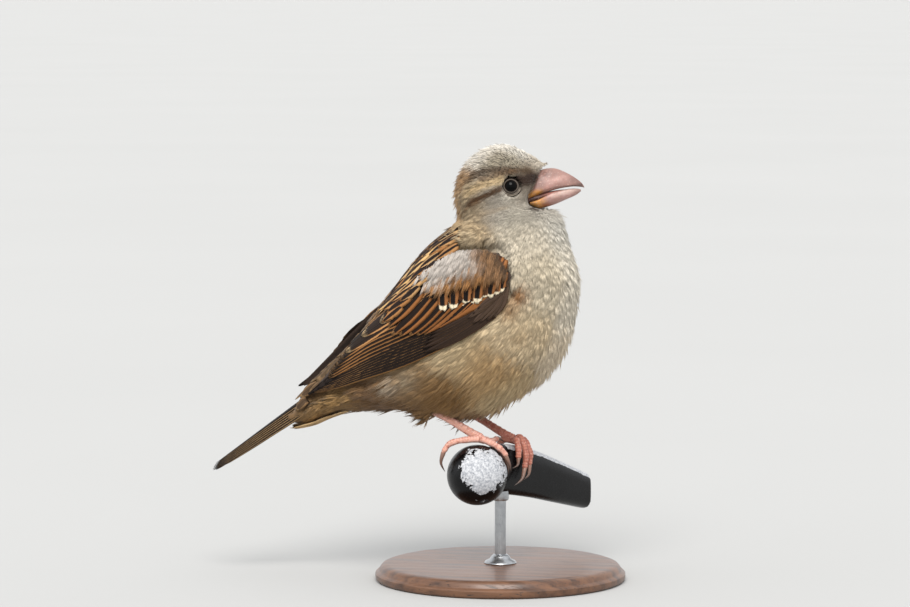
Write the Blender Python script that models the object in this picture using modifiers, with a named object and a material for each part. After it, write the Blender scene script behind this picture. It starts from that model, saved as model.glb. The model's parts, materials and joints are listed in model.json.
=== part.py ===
"""House sparrow, a life-size female, gripping the ball end of a cut lever on a display stand.

The bird faces +X and its left side is +Y. The floor is z = 0, under the middle of the stand's base.
Lengths are in millimetres and become metres where a mesh is made. The bird and its perch are laid out
from a point between the feet, which stands FOOT_LEVEL above the floor.
"""

import math

import bmesh
import bpy
from mathutils import Matrix, Vector

MM = 0.001
FOOT_LEVEL = 43.0
GAP = 0.35  # clear space between neighbouring pieces

# Trunk and neck: back point (x, z), front point (x, z) and half-width of each section.
COLLAR = ((-8.5, 74.0), (12.5, 70.5), 8.0)
THROAT = ((-12.0, 69.5), (18.3, 68.0), 12.6)
NECK = ((-13.0, 66.0), (21.7, 59.0), 16.5)
SHOULDER = ((-17.5, 62.0), (24.6, 50.0), 20.3)
BREAST = ((-24.0, 56.0), (24.4, 40.5), 22.4)
BELLY = ((-31.0, 47.0), (20.5, 25.0), 22.5)
FLANK = ((-38.5, 37.0), (9.5, 13.5), 21.0)
VENT = ((-46.0, 28.0), (-9.0, 6.0), 17.0)
RUMP = ((-53.0, 21.5), (-29.0, 8.2), 12.4)
COVERTS = ((-58.5, 16.0), (-46.5, 7.8), 9.2)
TAIL_ROOT = ((-63.5, 11.0), (-57.5, 3.4), 7.2)
COVERT_END = ((-66.5, 6.6), (-65.0, 2.0), 5.2)
NECK_SECTIONS = (COLLAR, THROAT, NECK, SHOULDER)
TRUNK_SECTIONS = (SHOULDER, BREAST, BELLY, FLANK, VENT, RUMP)
COVERT_SECTIONS = (RUMP, COVERTS, TAIL_ROOT, COVERT_END)
BODY_SQUARENESS = 2.15  # 2 is an ellipse

# Head, in its own axes: forward distance, top, bottom and half-width of each section.
HEAD_CENTRE = (-0.1, 0.0, 77.9)
HEAD_PITCH = math.radians(13)
HEAD_YAW = math.radians(8)
NECK_PIVOT = (1.4, 0.0)
HEAD_SECTIONS = (
    (16.3, 2.0, -7.6, 2.6),
    (12.6, 6.2, -10.2, 4.8),
    (8.0, 9.3, -11.5, 7.3),
    (3.0, 10.9, -12.2, 9.2),
    (-3.0, 10.4, -12.6, 10.5),
    (-8.0, 7.8, -12.0, 10.3),
    (-11.6, 3.6, -10.0, 8.2),
    (-13.6, -1.0, -6.0, 4.0),
)
HEAD_WIDEST, HEAD_SQUARENESS = 0.55, 2.1  # widest place as a share of the way down
EYE_CENTRE = (2.9, 6.0, -1.6)  # forward, sideways, up
EYE_RADIUS = 3.2

# Bill, in the head's axes: forward distance, top, bottom and half-width.
UPPER_BILL = (
    (7.4, -6.5, -7.2, 4.2),
    (11.0, -2.2, -6.0, 4.3),
    (14.3, 1.2, -5.2, 3.6),
    (17.5, 0.2, -5.4, 2.5),
    (21.0, -2.4, -6.0, 1.4),
    (23.6, -5.2, -6.8, 0.5),
    (24.4, -6.8, -7.3, 0.15),
)
LOWER_BILL = (
    (7.6, -7.8, -8.6, 3.8),
    (9.8, -7.5, -10.4, 3.8),
    (14.0, -6.7, -10.2, 3.0),
    (18.0, -6.6, -9.6, 2.1),
    (21.4, -7.0, -8.9, 1.1),
    (23.2, -7.5, -8.1, 0.3),
)

BILL_ROOM = (
    (7.0, -6.0, -9.0, 8.0),
    (10.0, -2.6, -11.0, 8.0),
    (14.3, 1.8, -11.0, 8.0),
    (17.5, 1.8, -11.0, 8.0),
)

# Folded right wing: lower point, upper point and outward bulge of its inner face, from wrist to tip.
WING_SECTIONS = (
    ((6.4, -20.4, 46.5), (3.4, -17.2, 59.4), 1.4),
    ((-2.4, -21.8, 38.1), (-7.5, -15.4, 58.4), 3.0),
    ((-11.7, -21.6, 32.5), (-19.3, -12.6, 51.7), 3.8),
    ((-27.8, -17.6, 22.3), (-33.5, -8.8, 40.0), 3.6),
    ((-42.0, -11.2, 16.9), (-46.7, -6.4, 26.9), 1.8),
    ((-58.3, -5.0, 11.8), (-58.6, -4.6, 13.4), 0.0),
)
WING_OUTWARD = Vector((-0.25, -0.85, 0.45)).normalized()
LEFT_WING_SHIFT = Vector((-6.2, 0.0, 0.9))  # the left wing is folded further back
COVERT_SPAN = 0.46  # share of the wing's length
SECONDARY_SPAN = 0.9
PRIMARY_BREADTH = 0.32  # share of the wing's breadth
COVERT_THICKNESS, SECONDARY_THICKNESS, PRIMARY_THICKNESS = 2.2, 1.6, 1.1
PANEL_GAP = 0.008  # half the cut between two panels, as a share of the length
WING_DEPTH, WING_CLEARANCE = 0.9, 12.0  # how far in and out from a wing's inner face the body is cut away
WING_MARGIN = 1.9  # and how far past its edges

# Tail: middle line, half-breadths and the drop of its edges.
TAIL_START, TAIL_TIP = Vector((-56.0, 0.0, 14.6)), Vector((-90.4, 0.0, -11.2))
TAIL_HALF_START, TAIL_HALF_TIP = 4.4, 7.2
TAIL_DROP_START, TAIL_DROP_TIP = 3.4, 2.2
TAIL_NOTCH, TAIL_ROUNDING = 2.2, 2.8
TAIL_THICKNESS = 1.4

# Perch: a lever with a ball end. Its sections give distance along the axis, top, bottom and half-thickness.
PERCH_AXIS = Vector((0.5, 0.866, 0.0)).normalized()
PERCH_ACROSS = Vector((PERCH_AXIS.y, -PERCH_AXIS.x, 0.0))
BALL_ALONG, BALL_LEVEL, BALL_RADIUS = -11.06, -9.9, 9.2
LEVER_SECTIONS = (
    (-8.0, -3.0, -15.5, 2.8),
    (0.0, -1.5, -16.8, 3.3),
    (13.0, -4.2, -19.2, 3.7),
    (26.0, -8.8, -22.2, 4.0),
    (40.0, -14.2, -25.5, 4.0),
)
LEVER_SQUARENESS = 3.2

# Legs: heel and foot pad, then radii.
RIGHT_HEEL, RIGHT_PAD = Vector((-20.7, -8.6, 10.5)), Vector((-4.6, -8.2, 0.9))
LEFT_HEEL, LEFT_PAD = Vector((-13.1, 7.0, 8.6)), Vector((3.2, 5.5, -0.9))
KNEE_OFFSET = Vector((10.0, 2.5, 13.0))  # from the heel, forwards, outwards and up
CUFF_OFFSET = Vector((-0.8, 0.0, -6.4))  # the feathered leg's lower tip
THIGH_RADII = (6.5, 5.6, 4.4, 1.2)
SHANK_RADII = (1.5, 1.2, 1.2)
SHANK_END = 0.74  # where the foot begins, as a share of the way from heel to pad
TOE_RADII = (1.3, 1.15, 1.1, 0.9)
CLAW_RADII = (0.75, 0.7, 0.55, 0.25)

# Right foot, on the ball: heading and reach of two front toes round it, in degrees, then the hind toe.
BALL_TOES = (("3", 32, 62), ("4", 12, 54))
CLAW_ARC = 26
HIND_TOE = ((0.6, 10.9), (-4.6, 10.3), (-8.2, 9.0), (-9.9, 7.2))  # left and up from the ball's centre
HIND_CLAW = ((-10.6, 3.9), (-9.8, 1.2))
HIND_HEADING = 190

# The right foot's inner toe lies on the lever: distance along it, across it and up.
INNER_TOE = ((-9.4, 0.1, 0.9), (-6.6, -0.2, 0.3), (-3.6, -0.5, -0.4), (-1.0, -0.7, 0.1))
INNER_CLAW = ((1.0, -0.8, -0.4), (2.6, -0.7, -1.2))

# Left foot, over the lever: each toe and claw in the same way.
LEVER_TOES = (
    ("1", ((6.0, -0.4, -0.9), (5.0, -3.2, -1.1), (4.8, -4.9, -3.6), (4.8, -5.1, -7.2))),
    ("2", ((5.6, 0.6, -0.9), (3.6, 3.4, -0.6), (2.2, 5.3, -3.2), (1.9, 5.5, -5.4))),
    ("3", ((6.4, 0.8, -0.8), (6.0, 3.0, 0.0), (5.4, 5.5, -4.6), (4.8, 5.6, -8.6))),
    ("4", ((7.0, 0.8, -0.9), (7.8, 2.8, -0.8), (7.7, 5.3, -4.4), (7.2, 5.5, -7.8))),
)
LEVER_CLAWS = (
    ("1", ((4.8, -5.4, -10.2), (4.8, -4.7, -12.4))),
    ("2", ((1.0, 5.7, -7.6), (-0.8, 5.1, -8.6))),
    ("3", ((3.0, 5.7, -12.0), (0.4, 5.0, -14.0))),
    ("4", ((6.2, 5.7, -11.0), (4.2, 5.1, -12.8))),
)

# Stand.
BASE_RADIUS, BASE_THICKNESS, BASE_BEVEL = 38.0, 5.0, 0.8
ROD_RADIUS, ROD_DEPTH = 1.7, 3.0


def clear_scene():
    for obj in list(bpy.data.objects):
        bpy.data.objects.remove(obj, do_unlink=True)


def new_collection(name):
    made = bpy.data.collections.new(name)
    bpy.context.scene.collection.children.link(made)
    return made


def new_material(name, colour, roughness, metallic=0.0):
    made = bpy.data.materials.new(name)
    made.use_nodes = True
    shader = made.node_tree.nodes["Principled BSDF"]
    shader.inputs["Base Color"].default_value = (*colour, 1.0)
    shader.inputs["Roughness"].default_value = roughness
    shader.inputs["Metallic"].default_value = metallic
    return made


clear_scene()
PARTS = new_collection("house_sparrow")
CUTTERS = new_collection("cutters")
BUFF_FEATHER = new_material("buff_feather", (0.52, 0.42, 0.30), 0.9)
BROWN_FEATHER = new_material("brown_feather", (0.23, 0.13, 0.07), 0.8)
BILL_HORN = new_material("bill_horn", (0.62, 0.40, 0.33), 0.45)
EYE_DARK = new_material("eye_dark", (0.015, 0.01, 0.01), 0.08)
LEG_SKIN = new_material("leg_skin", (0.60, 0.30, 0.23), 0.6)
CLAW_HORN = new_material("claw_horn", (0.20, 0.14, 0.11), 0.4)
BLACK_PAINT = new_material("black_paint", (0.02, 0.02, 0.022), 0.35)
STEEL = new_material("steel", (0.6, 0.6, 0.6), 0.3, 1.0)
DARK_WOOD = new_material("dark_wood", (0.10, 0.06, 0.04), 0.5)


def place(point):
    """From millimetres about the feet to metres above the floor."""
    return (Vector(point) + Vector((0, 0, FOOT_LEVEL))) * MM


def add_object(name, mesh, material, group=PARTS):
    obj = bpy.data.objects.new(name, mesh)
    group.objects.link(obj)
    obj.data.materials.clear()
    obj.data.materials.append(material)
    if group == CUTTERS:
        obj.display_type = "WIRE"
        obj.hide_render = True
    return obj


def mesh_from(made, name):
    mesh = bpy.data.meshes.new(name)
    made.to_mesh(mesh)
    made.free()
    mesh.shade_smooth()
    return mesh


def evaluated_mesh(obj):
    bpy.context.view_layer.update()
    graph = bpy.context.evaluated_depsgraph_get()
    return bpy.data.meshes.new_from_object(obj.evaluated_get(graph))


def smooth_steps(rows, steps):
    """Rows of numbers, with steps - 1 more between each two on a Catmull-Rom curve."""
    found = []
    last = len(rows) - 1
    for i in range(last):
        a, b, c, d = (rows[min(max(k, 0), last)] for k in range(i - 1, i + 3))
        for step in range(steps):
            t = step / steps
            found.append(
                tuple(
                    q + 0.5 * t * (r - p + t * (2 * p - 5 * q + 4 * r - s + t * (3 * (q - r) + s - p)))
                    for p, q, r, s in zip(a, b, c, d)
                )
            )
    return found + [tuple(rows[last])]


def oval(count, squareness):
    """Unit points of a closed oval, from its top round."""
    power = 2 / squareness
    for i in range(count):
        turn = 2 * math.pi * i / count
        c, s = math.cos(turn), math.sin(turn)
        yield math.copysign(abs(c) ** power, c), math.copysign(abs(s) ** power, s)


def loft(name, rings, material, group=PARTS):
    """A closed solid through rings of points, with a flat cap at each end."""
    made = bmesh.new()
    corners = [[made.verts.new(point) for point in ring] for ring in rings]
    count = len(rings[0])
    for near, far in zip(corners, corners[1:]):
        for i in range(count):
            j = (i + 1) % count
            made.faces.new((near[i], near[j], far[j], far[i]))
    made.faces.new(corners[0][::-1])
    made.faces.new(corners[-1])
    bmesh.ops.recalc_face_normals(made, faces=made.faces)
    return add_object(name, mesh_from(made, name), material, group)


def cut(target, cutter, operation="DIFFERENCE"):
    made = target.modifiers.new(cutter.name, "BOOLEAN")
    made.operation = operation
    made.object = cutter


def carve(target, *neighbours):
    """Cuts the target back from its neighbours, so that a thin gap is left."""
    for neighbour in neighbours:
        name = f"{target.name}_less_{neighbour.name}"
        cutter = add_object(name, neighbour.data.copy(), STEEL, CUTTERS)
        cutter.matrix_world = neighbour.matrix_world
        grow = cutter.modifiers.new("Grow", "DISPLACE")
        grow.strength = GAP * MM
        grow.mid_level = 0
        cut(target, cutter)


def ball(name, centre, radius, material, group, shape):
    made = bmesh.new()
    bmesh.ops.create_uvsphere(made, u_segments=shape[0], v_segments=shape[1], radius=radius * MM)
    bmesh.ops.translate(made, verts=made.verts, vec=place(centre))
    return add_object(name, mesh_from(made, name), material, group)


def tube(name, points, radii, material, group=PARTS, steps=2):
    """A round tapering tube along a smooth curve, closed at both ends."""
    rows = smooth_steps([(*point, radius) for point, radius in zip(points, radii)], steps)
    curve = bpy.data.curves.new(name, "CURVE")
    curve.dimensions = "3D"
    curve.bevel_depth = MM
    curve.bevel_resolution = 2
    curve.use_fill_caps = True
    spline = curve.splines.new("POLY")
    spline.points.add(len(rows) - 1)
    for point, row in zip(spline.points, rows):
        point.co = (*place(row[:3]), 1)
        point.radius = row[3]
    guide = add_object(name + "_curve", curve, material, group)
    made = bmesh.new()
    made.from_mesh(evaluated_mesh(guide))
    bpy.data.objects.remove(guide)
    bmesh.ops.remove_doubles(made, verts=made.verts, dist=0.01 * MM)
    bmesh.ops.recalc_face_normals(made, faces=made.faces)
    return add_object(name, mesh_from(made, name), material, group)


def body_loft(name, sections, count):
    """A solid through sections that each lie between a back point and a front point."""
    rings = []
    rows = smooth_steps([(*back, *front, width) for back, front, width in sections], 2)
    for row in rows:
        back, front = Vector((row[0], 0, row[1])), Vector((row[2], 0, row[3]))
        middle, reach = (back + front) / 2, (back - front) / 2
        side = Vector((0, row[4], 0))
        # each end is drawn in along the body by half a gap
        ahead = Vector((reach.z, 0, -reach.x)).normalized() * GAP / 2
        middle += ahead * ((row is rows[-1]) - (row is rows[0]))
        rings.append([place(middle + reach * c + side * s) for c, s in oval(count, BODY_SQUARENESS)])
    return loft(name, rings, BUFF_FEATHER)


def head_matrix():
    """From the head's axes (forward, sideways, up) to the bird's."""
    pivot = Matrix.Translation((*NECK_PIVOT, 0))
    turn = pivot @ Matrix.Rotation(HEAD_YAW, 4, "Z") @ pivot.inverted()
    return turn @ Matrix.Translation(HEAD_CENTRE) @ Matrix.Rotation(-HEAD_PITCH, 4, "Y")


HEAD = head_matrix()


def head_loft(name, sections, widest, squareness, count, material, group=PARTS):
    """A solid in the head's axes. widest is where it is broadest, as a share of the way down."""
    rings = []
    for forward, top, bottom, width in smooth_steps(sections, 2):
        level = top + (bottom - top) * widest
        ring = []
        for c, s in oval(count, squareness):
            up = level + c * (top - level if c > 0 else level - bottom)
            ring.append(place(HEAD @ Vector((forward, width * s, up))))
        rings.append(ring)
    return loft(name, rings, material, group)


def build_head():
    head = head_loft("head", HEAD_SECTIONS, HEAD_WIDEST, HEAD_SQUARENESS, 22, BUFF_FEATHER)
    head_loft("bill_upper", UPPER_BILL, 0.82, 1.9, 14, BILL_HORN)
    head_loft("bill_lower", LOWER_BILL, 0.2, 2.0, 14, BILL_HORN)
    forward, out, up = EYE_CENTRE
    eyes = []
    for side, name in ((-1, "eye_right"), (1, "eye_left")):
        centre = HEAD @ Vector((forward, side * out, up))
        eyes.append(ball(name, centre, EYE_RADIUS, EYE_DARK, PARTS, (12, 8)))
    carve(head, *eyes)
    cut(head, head_loft("bill_room", BILL_ROOM, 0.5, 5.0, 12, STEEL, CUTTERS))
    return head


def build_body():
    neck = body_loft("neck", NECK_SECTIONS, 22)
    trunk = body_loft("trunk", TRUNK_SECTIONS, 28)
    coverts = body_loft("tail_coverts", COVERT_SECTIONS, 18)
    return neck, trunk, coverts


def wing_point(along, across, flip):
    """A point of a folded wing's inner face, by shares of its length and of its breadth from below."""
    reach = along * (len(WING_ROWS) - 1)
    near = min(max(int(reach), 0), len(WING_ROWS) - 2)
    row = [a + (b - a) * (reach - near) for a, b in zip(WING_ROWS[near], WING_ROWS[near + 1])]
    point = Vector(row[0:3]).lerp(Vector(row[3:6]), across)
    point += WING_OUTWARD * row[6] * 4 * across * (1 - across)
    if flip:
        point.y = -point.y
        point += LEFT_WING_SHIFT * (0.4 + 0.6 * along)
    return point


WING_ROWS = smooth_steps([(*lower, *upper, bulge) for lower, upper, bulge in WING_SECTIONS], 6)


def secondary_edge(along):
    """The breadth at which the secondaries lie over the primaries."""
    share = min(max((along - COVERT_SPAN) / (SECONDARY_SPAN - COVERT_SPAN), 0), 1)
    return PRIMARY_BREADTH + (1 - PRIMARY_BREADTH) * share**2.6


def wing_grid(flip, span, breadth, shape):
    """An open sheet on part of a wing's face. breadth gives its two edges at a share of the length."""
    along_count, across_count = shape
    made = bmesh.new()
    grid = []
    for i in range(along_count + 1):
        along = span[0] + (span[1] - span[0]) * i / along_count
        low, high = breadth(along)
        shares = [low + (high - low) * j / across_count for j in range(across_count + 1)]
        grid.append([made.verts.new(place(wing_point(along, share, flip))) for share in shares])
    for near, far in zip(grid, grid[1:]):
        for j in range(across_count):
            corners = (near[j], near[j + 1], far[j + 1], far[j])
            made.faces.new(corners[::-1] if flip else corners)
    return made


def wing_panel(name, flip, span, breadth, thickness, shape):
    panel = add_object(name, mesh_from(wing_grid(flip, span, breadth, shape), name), BROWN_FEATHER)
    shell = panel.modifiers.new("Shell", "SOLIDIFY")
    shell.thickness = thickness * MM
    shell.offset = 1


def wing_room(name, flip):
    """The cutter that clears the body from a wing's inner face outwards."""
    outward = Vector((WING_OUTWARD.x, -WING_OUTWARD.y if flip else WING_OUTWARD.y, WING_OUTWARD.z))

    def breadth(along):
        margin = WING_MARGIN / (wing_point(along, 1, flip) - wing_point(along, 0, flip)).length
        return -margin, 1 + margin

    made = wing_grid(flip, (-0.04, 1.02), breadth, (12, 4))
    bmesh.ops.translate(made, verts=made.verts, vec=-outward * WING_DEPTH * MM)
    raised = bmesh.ops.extrude_face_region(made, geom=made.faces[:])["geom"]
    raised = [item for item in raised if isinstance(item, bmesh.types.BMVert)]
    bmesh.ops.translate(made, verts=raised, vec=outward * (WING_DEPTH + WING_CLEARANCE) * MM)
    bmesh.ops.recalc_face_normals(made, faces=made.faces)
    return add_object(name, mesh_from(made, name), STEEL, CUTTERS)


def build_wing(side, flip):
    """The three panels of one wing, and the cutter that makes room for them in the body."""
    slit = 2 * PANEL_GAP
    end = SECONDARY_SPAN - 0.06
    start = COVERT_SPAN + PANEL_GAP
    wing_panel(
        f"wing_{side}_coverts", flip, (0, start - slit), lambda along: (0, 1), COVERT_THICKNESS, (10, 6)
    )
    wing_panel(
        f"wing_{side}_secondaries",
        flip,
        (start, end),
        lambda along: (secondary_edge(along) + slit, 1),
        SECONDARY_THICKNESS,
        (9, 4),
    )
    wing_panel(
        f"wing_{side}_primaries",
        flip,
        (start, 1),
        lambda along: (0, secondary_edge(along) - (slit if along < end else 0)),
        PRIMARY_THICKNESS,
        (12, 4),
    )
    return wing_room(f"wing_{side}_room", flip)


def build_tail():
    """A folded tail: a roof-shaped plate with a shallow notch at its end."""
    reach = TAIL_TIP - TAIL_START
    down = Vector((-reach.z, 0, reach.x)).normalized()
    along_count, across_count = 8, 8
    made = bmesh.new()
    grid = []
    for i in range(along_count + 1):
        share = i / along_count
        half = TAIL_HALF_START + (TAIL_HALF_TIP - TAIL_HALF_START) * math.sin(share * math.pi / 2)
        drop = TAIL_DROP_START + (TAIL_DROP_TIP - TAIL_DROP_START) * share
        line = []
        for j in range(across_count + 1):
            across = 2 * j / across_count - 1
            short = TAIL_NOTCH * (1 - abs(across)) + TAIL_ROUNDING * across**6
            along = share * (1 - short / reach.length)
            point = TAIL_START + reach * along + down * drop * abs(across) ** 1.4
            line.append(made.verts.new(place(point + Vector((0, half * across, 0)))))
        grid.append(line)
    for near, far in zip(grid, grid[1:]):
        for j in range(across_count):
            made.faces.new((near[j], near[j + 1], far[j + 1], far[j]))
    bmesh.ops.recalc_face_normals(made, faces=made.faces)
    tail = add_object("tail", mesh_from(made, "tail"), BROWN_FEATHER)
    shell = tail.modifiers.new("Shell", "SOLIDIFY")
    shell.thickness = TAIL_THICKNESS * MM
    shell.offset = 0
    return tail


BALL_CENTRE = PERCH_AXIS * BALL_ALONG + Vector((0, 0, BALL_LEVEL))


def build_perch():
    """The lever's blade with the ball joined to its end."""
    rings = []
    for along, top, bottom, half in smooth_steps(LEVER_SECTIONS, 2):
        centre = PERCH_AXIS * along + Vector((0, 0, (top + bottom) / 2))
        rise = Vector((0, 0, (top - bottom) / 2))
        rings.append([place(centre + PERCH_ACROSS * half * s + rise * c) for c, s in oval(14, LEVER_SQUARENESS)])
    perch = loft("perch_lever", rings, BLACK_PAINT)
    cut(perch, ball("ball", BALL_CENTRE, BALL_RADIUS, BLACK_PAINT, CUTTERS, (20, 12)), "UNION")
    return perch


def add_cylinder(name, radius, low, high, sides, material):
    bpy.ops.mesh.primitive_cylinder_add(
        vertices=sides, radius=radius * MM, depth=(high - low) * MM, location=(0, 0, (high + low) / 2 * MM)
    )
    made = bpy.context.object
    made.name = name
    made.data.materials.append(material)
    for group in list(made.users_collection):
        group.objects.unlink(made)
    PARTS.objects.link(made)
    return made


def build_stand(perch):
    """A round base and the rod that holds the lever, which goes into a blind hole at each end."""
    base = add_cylinder("stand_base", BASE_RADIUS, 0, BASE_THICKNESS, 48, DARK_WOOD)
    edge = base.modifiers.new("Edge", "BEVEL")
    edge.width = BASE_BEVEL * MM
    edge.segments = 1
    edge.limit_method = "ANGLE"
    underside = FOOT_LEVEL + LEVER_SECTIONS[1][2]
    rod = add_cylinder("stand_rod", ROD_RADIUS, BASE_THICKNESS - ROD_DEPTH, underside + ROD_DEPTH, 20, STEEL)
    carve(base, rod)
    carve(perch, rod)


def on_ball(heading, turn, radius):
    """A point over the ball, at a heading in the level plane and a turn from its top, in degrees."""
    way, tilt = math.radians(heading), math.radians(turn)
    level = Vector((math.cos(way), math.sin(way), 0)) * math.sin(tilt)
    return BALL_CENTRE + (level + Vector((0, 0, math.cos(tilt)))) * radius


def on_lever(along, across, up):
    return PERCH_AXIS * along + PERCH_ACROSS * across + Vector((0, 0, up))


def right_foot_paths():
    """Each digit's toe and claw, on the ball or beside it."""
    toe_height = BALL_RADIUS + TOE_RADII[1] + GAP
    claw_height = BALL_RADIUS + CLAW_RADII[0] + GAP
    paths = {}
    for digit, heading, reach in BALL_TOES:
        toe = [RIGHT_PAD] + [on_ball(heading, reach * share, toe_height) for share in (0.45, 0.75, 1)]
        claw = [on_ball(heading, reach + 5 + CLAW_ARC * share, claw_height) for share in (0.55, 1)]
        paths[digit] = (toe, claw)
    way = math.radians(HIND_HEADING)
    back = Vector((-math.cos(way), -math.sin(way), 0))
    rise = Vector((0, 0, 1))
    paths["1"] = tuple([BALL_CENTRE + back * s + rise * t for s, t in points] for points in (HIND_TOE, HIND_CLAW))
    paths["2"] = tuple([on_lever(*point) for point in points] for points in (INNER_TOE, INNER_CLAW))
    return paths


def left_foot_paths():
    """Each digit's toe and claw on the lever."""
    claws = dict(LEVER_CLAWS)
    return {
        digit: ([on_lever(*point) for point in toe], [on_lever(*point) for point in claws[digit]])
        for digit, toe in LEVER_TOES
    }


def follow_on(path, gap):
    """The point a gap beyond a path's end."""
    return path[-1] + (path[-1] - path[-2]).normalized() * gap


def build_leg(side, heel, pad, paths, trunk):
    """A feathered thigh in the trunk, a bare shank, and a foot whose toes are joined at the pad."""
    out = -1 if side == "right" else 1
    knee = heel + Vector((KNEE_OFFSET.x, KNEE_OFFSET.y * out, KNEE_OFFSET.z))
    bend = heel + (knee - heel) * 0.4
    thigh = tube(f"thigh_{side}", (knee, bend, heel, heel + CUFF_OFFSET), THIGH_RADII, BUFF_FEATHER)
    ankle = heel.lerp(pad, SHANK_END)
    shank = tube(f"shank_{side}", (heel.lerp(pad, -0.1), heel.lerp(pad, 0.3), ankle), SHANK_RADII, LEG_SKIN)
    start = follow_on((heel, ankle), GAP)
    foot = tube(f"foot_{side}", (start, pad, follow_on((start, pad), 1.0)), (1.2, 1.6, 1.0), LEG_SKIN)
    for digit, (toe, claw) in sorted(paths.items()):
        cut(foot, tube(f"toe_{side}_{digit}", toe, TOE_RADII, LEG_SKIN, CUTTERS), "UNION")
        root = [follow_on(toe, GAP), follow_on(toe, GAP + 1)]
        tube(f"claw_{side}_{digit}", root + claw, CLAW_RADII, CLAW_HORN, PARTS, 1)
    carve(thigh, shank)
    carve(trunk, thigh, shank)


def main():
    neck, trunk, coverts = build_body()
    head = build_head()
    rooms = [build_wing("right", False), build_wing("left", True)]
    tail = build_tail()
    perch = build_perch()
    carve(neck, head)
    room = evaluated_mesh(tail)
    carve(coverts, add_object("tail_room", room, STEEL, CUTTERS))
    for room in rooms:
        for piece in (neck, trunk, coverts):
            cut(piece, room)
    build_leg("right", RIGHT_HEEL, RIGHT_PAD, right_foot_paths(), trunk)
    build_leg("left", LEFT_HEEL, LEFT_PAD, left_foot_paths(), trunk)
    build_stand(perch)


main()
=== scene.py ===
import json
import math

import bmesh
import bpy
import numpy as np
from mathutils import Matrix, Vector
from mathutils.bvhtree import BVHTree

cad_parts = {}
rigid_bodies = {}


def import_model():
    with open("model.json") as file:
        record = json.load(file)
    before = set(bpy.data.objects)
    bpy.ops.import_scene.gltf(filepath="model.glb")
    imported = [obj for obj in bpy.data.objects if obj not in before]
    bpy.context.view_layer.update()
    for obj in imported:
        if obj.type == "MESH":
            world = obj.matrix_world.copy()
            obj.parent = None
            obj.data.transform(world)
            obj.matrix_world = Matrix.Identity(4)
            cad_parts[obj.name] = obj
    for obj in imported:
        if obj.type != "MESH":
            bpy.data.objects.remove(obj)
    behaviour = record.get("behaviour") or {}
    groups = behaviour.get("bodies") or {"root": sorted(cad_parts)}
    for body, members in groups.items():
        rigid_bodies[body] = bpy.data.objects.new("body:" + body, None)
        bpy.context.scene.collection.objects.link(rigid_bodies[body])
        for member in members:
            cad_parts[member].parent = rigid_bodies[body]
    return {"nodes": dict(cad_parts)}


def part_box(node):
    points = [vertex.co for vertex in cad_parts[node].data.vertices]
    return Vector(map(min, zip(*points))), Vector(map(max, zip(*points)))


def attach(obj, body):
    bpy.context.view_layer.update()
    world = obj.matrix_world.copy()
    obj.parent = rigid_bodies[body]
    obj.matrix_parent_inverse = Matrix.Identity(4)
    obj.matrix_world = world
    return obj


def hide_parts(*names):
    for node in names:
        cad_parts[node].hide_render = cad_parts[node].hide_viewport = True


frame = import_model()
bpy.context.view_layer.update()
nodes = frame["nodes"]
mm = 0.001
ballDrop = 0.7  # the ball's top lies this far under the level of the feet
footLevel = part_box("perch_lever")[1].z / mm + ballDrop


def at(x, y, z):  # from millimetres about the feet to metres in the frame
    return Vector((x * mm, y * mm, (z + footLevel) * mm))


def asMillimetres(points):  # rows of frame positions, in millimetres about the feet
    return np.asarray(points, float) / mm - (0, 0, footLevel)


def paint(code):  # a colour such as "d7c8af", made linear
    parts = [int(code[i:i + 2], 16) / 255 for i in (0, 2, 4)]
    return np.array([((p + 0.055) / 1.055) ** 2.4 if p > 0.04045 else p / 12.92 for p in parts])


def fade(value, low, high):  # 0 under low, 1 over high, smooth between
    share = np.clip((np.asarray(value, float) - low) / (high - low), 0, 1)
    return share * share * (3 - 2 * share)


def smoothRows(rows, steps):  # rows of numbers with steps - 1 more between each two, on a smooth curve
    rows = np.array(rows, float)
    last = len(rows) - 1
    found = []
    for i in range(last):
        a, b, c, d = (rows[min(max(k, 0), last)] for k in range(i - 1, i + 3))
        for t in np.arange(steps) / steps:
            found.append(b + 0.5 * t * (c - a + t * (2 * a - 5 * b + 4 * c - d + t * (3 * (b - c) + d - a))))
    return np.array(found + [rows[last]])


def unit(vector):
    return vector / np.linalg.norm(vector)


def measured(rows):  # a broken line's length, and its place at a distance along it
    columns = np.array(rows, float).T
    reach = np.r_[0, np.cumsum(np.linalg.norm(np.diff(columns), axis=0))]
    return reach[-1], lambda where: np.array([np.interp(where, reach, column) for column in columns])


def onCurve(rows, share):  # a place at a share of a broken line's length
    length, place = measured(rows)
    return place(share * length)


def folded(points, side):  # points brought over to one side of the middle plane
    return np.column_stack([points[:, 0], side * np.abs(points[:, 1]), points[:, 2]])


def overlaid(tones, share, code):  # rows of colours, with another laid over them by a share
    return tones * (1 - share[:, None]) + paint(code) * share[:, None]


# meshes


def newObject(name, data, material=None):
    made = bpy.data.objects.new(name, data)
    bpy.context.scene.collection.objects.link(made)
    if material:
        data.materials.clear()
        data.materials.append(material)
    return made


def meshFrom(name, points, faces):
    made = bpy.data.meshes.new(name)
    made.from_pydata([tuple(p) for p in points], [], faces)
    made.update()
    made.shade_smooth()
    return made


def meshOf(name, made):  # a bmesh as a new mesh
    mesh = bpy.data.meshes.new(name)
    made.to_mesh(mesh)
    made.free()
    return mesh


def outwardMesh(name, points, faces):  # from millimetres about the feet, the faces turned outwards
    mesh = meshFrom(name, [at(*p) for p in points], faces)
    made = bmesh.new()
    made.from_mesh(mesh)
    bmesh.ops.recalc_face_normals(made, faces=made.faces)
    made.to_mesh(mesh)
    made.free()
    mesh.shade_smooth()
    return mesh


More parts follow.
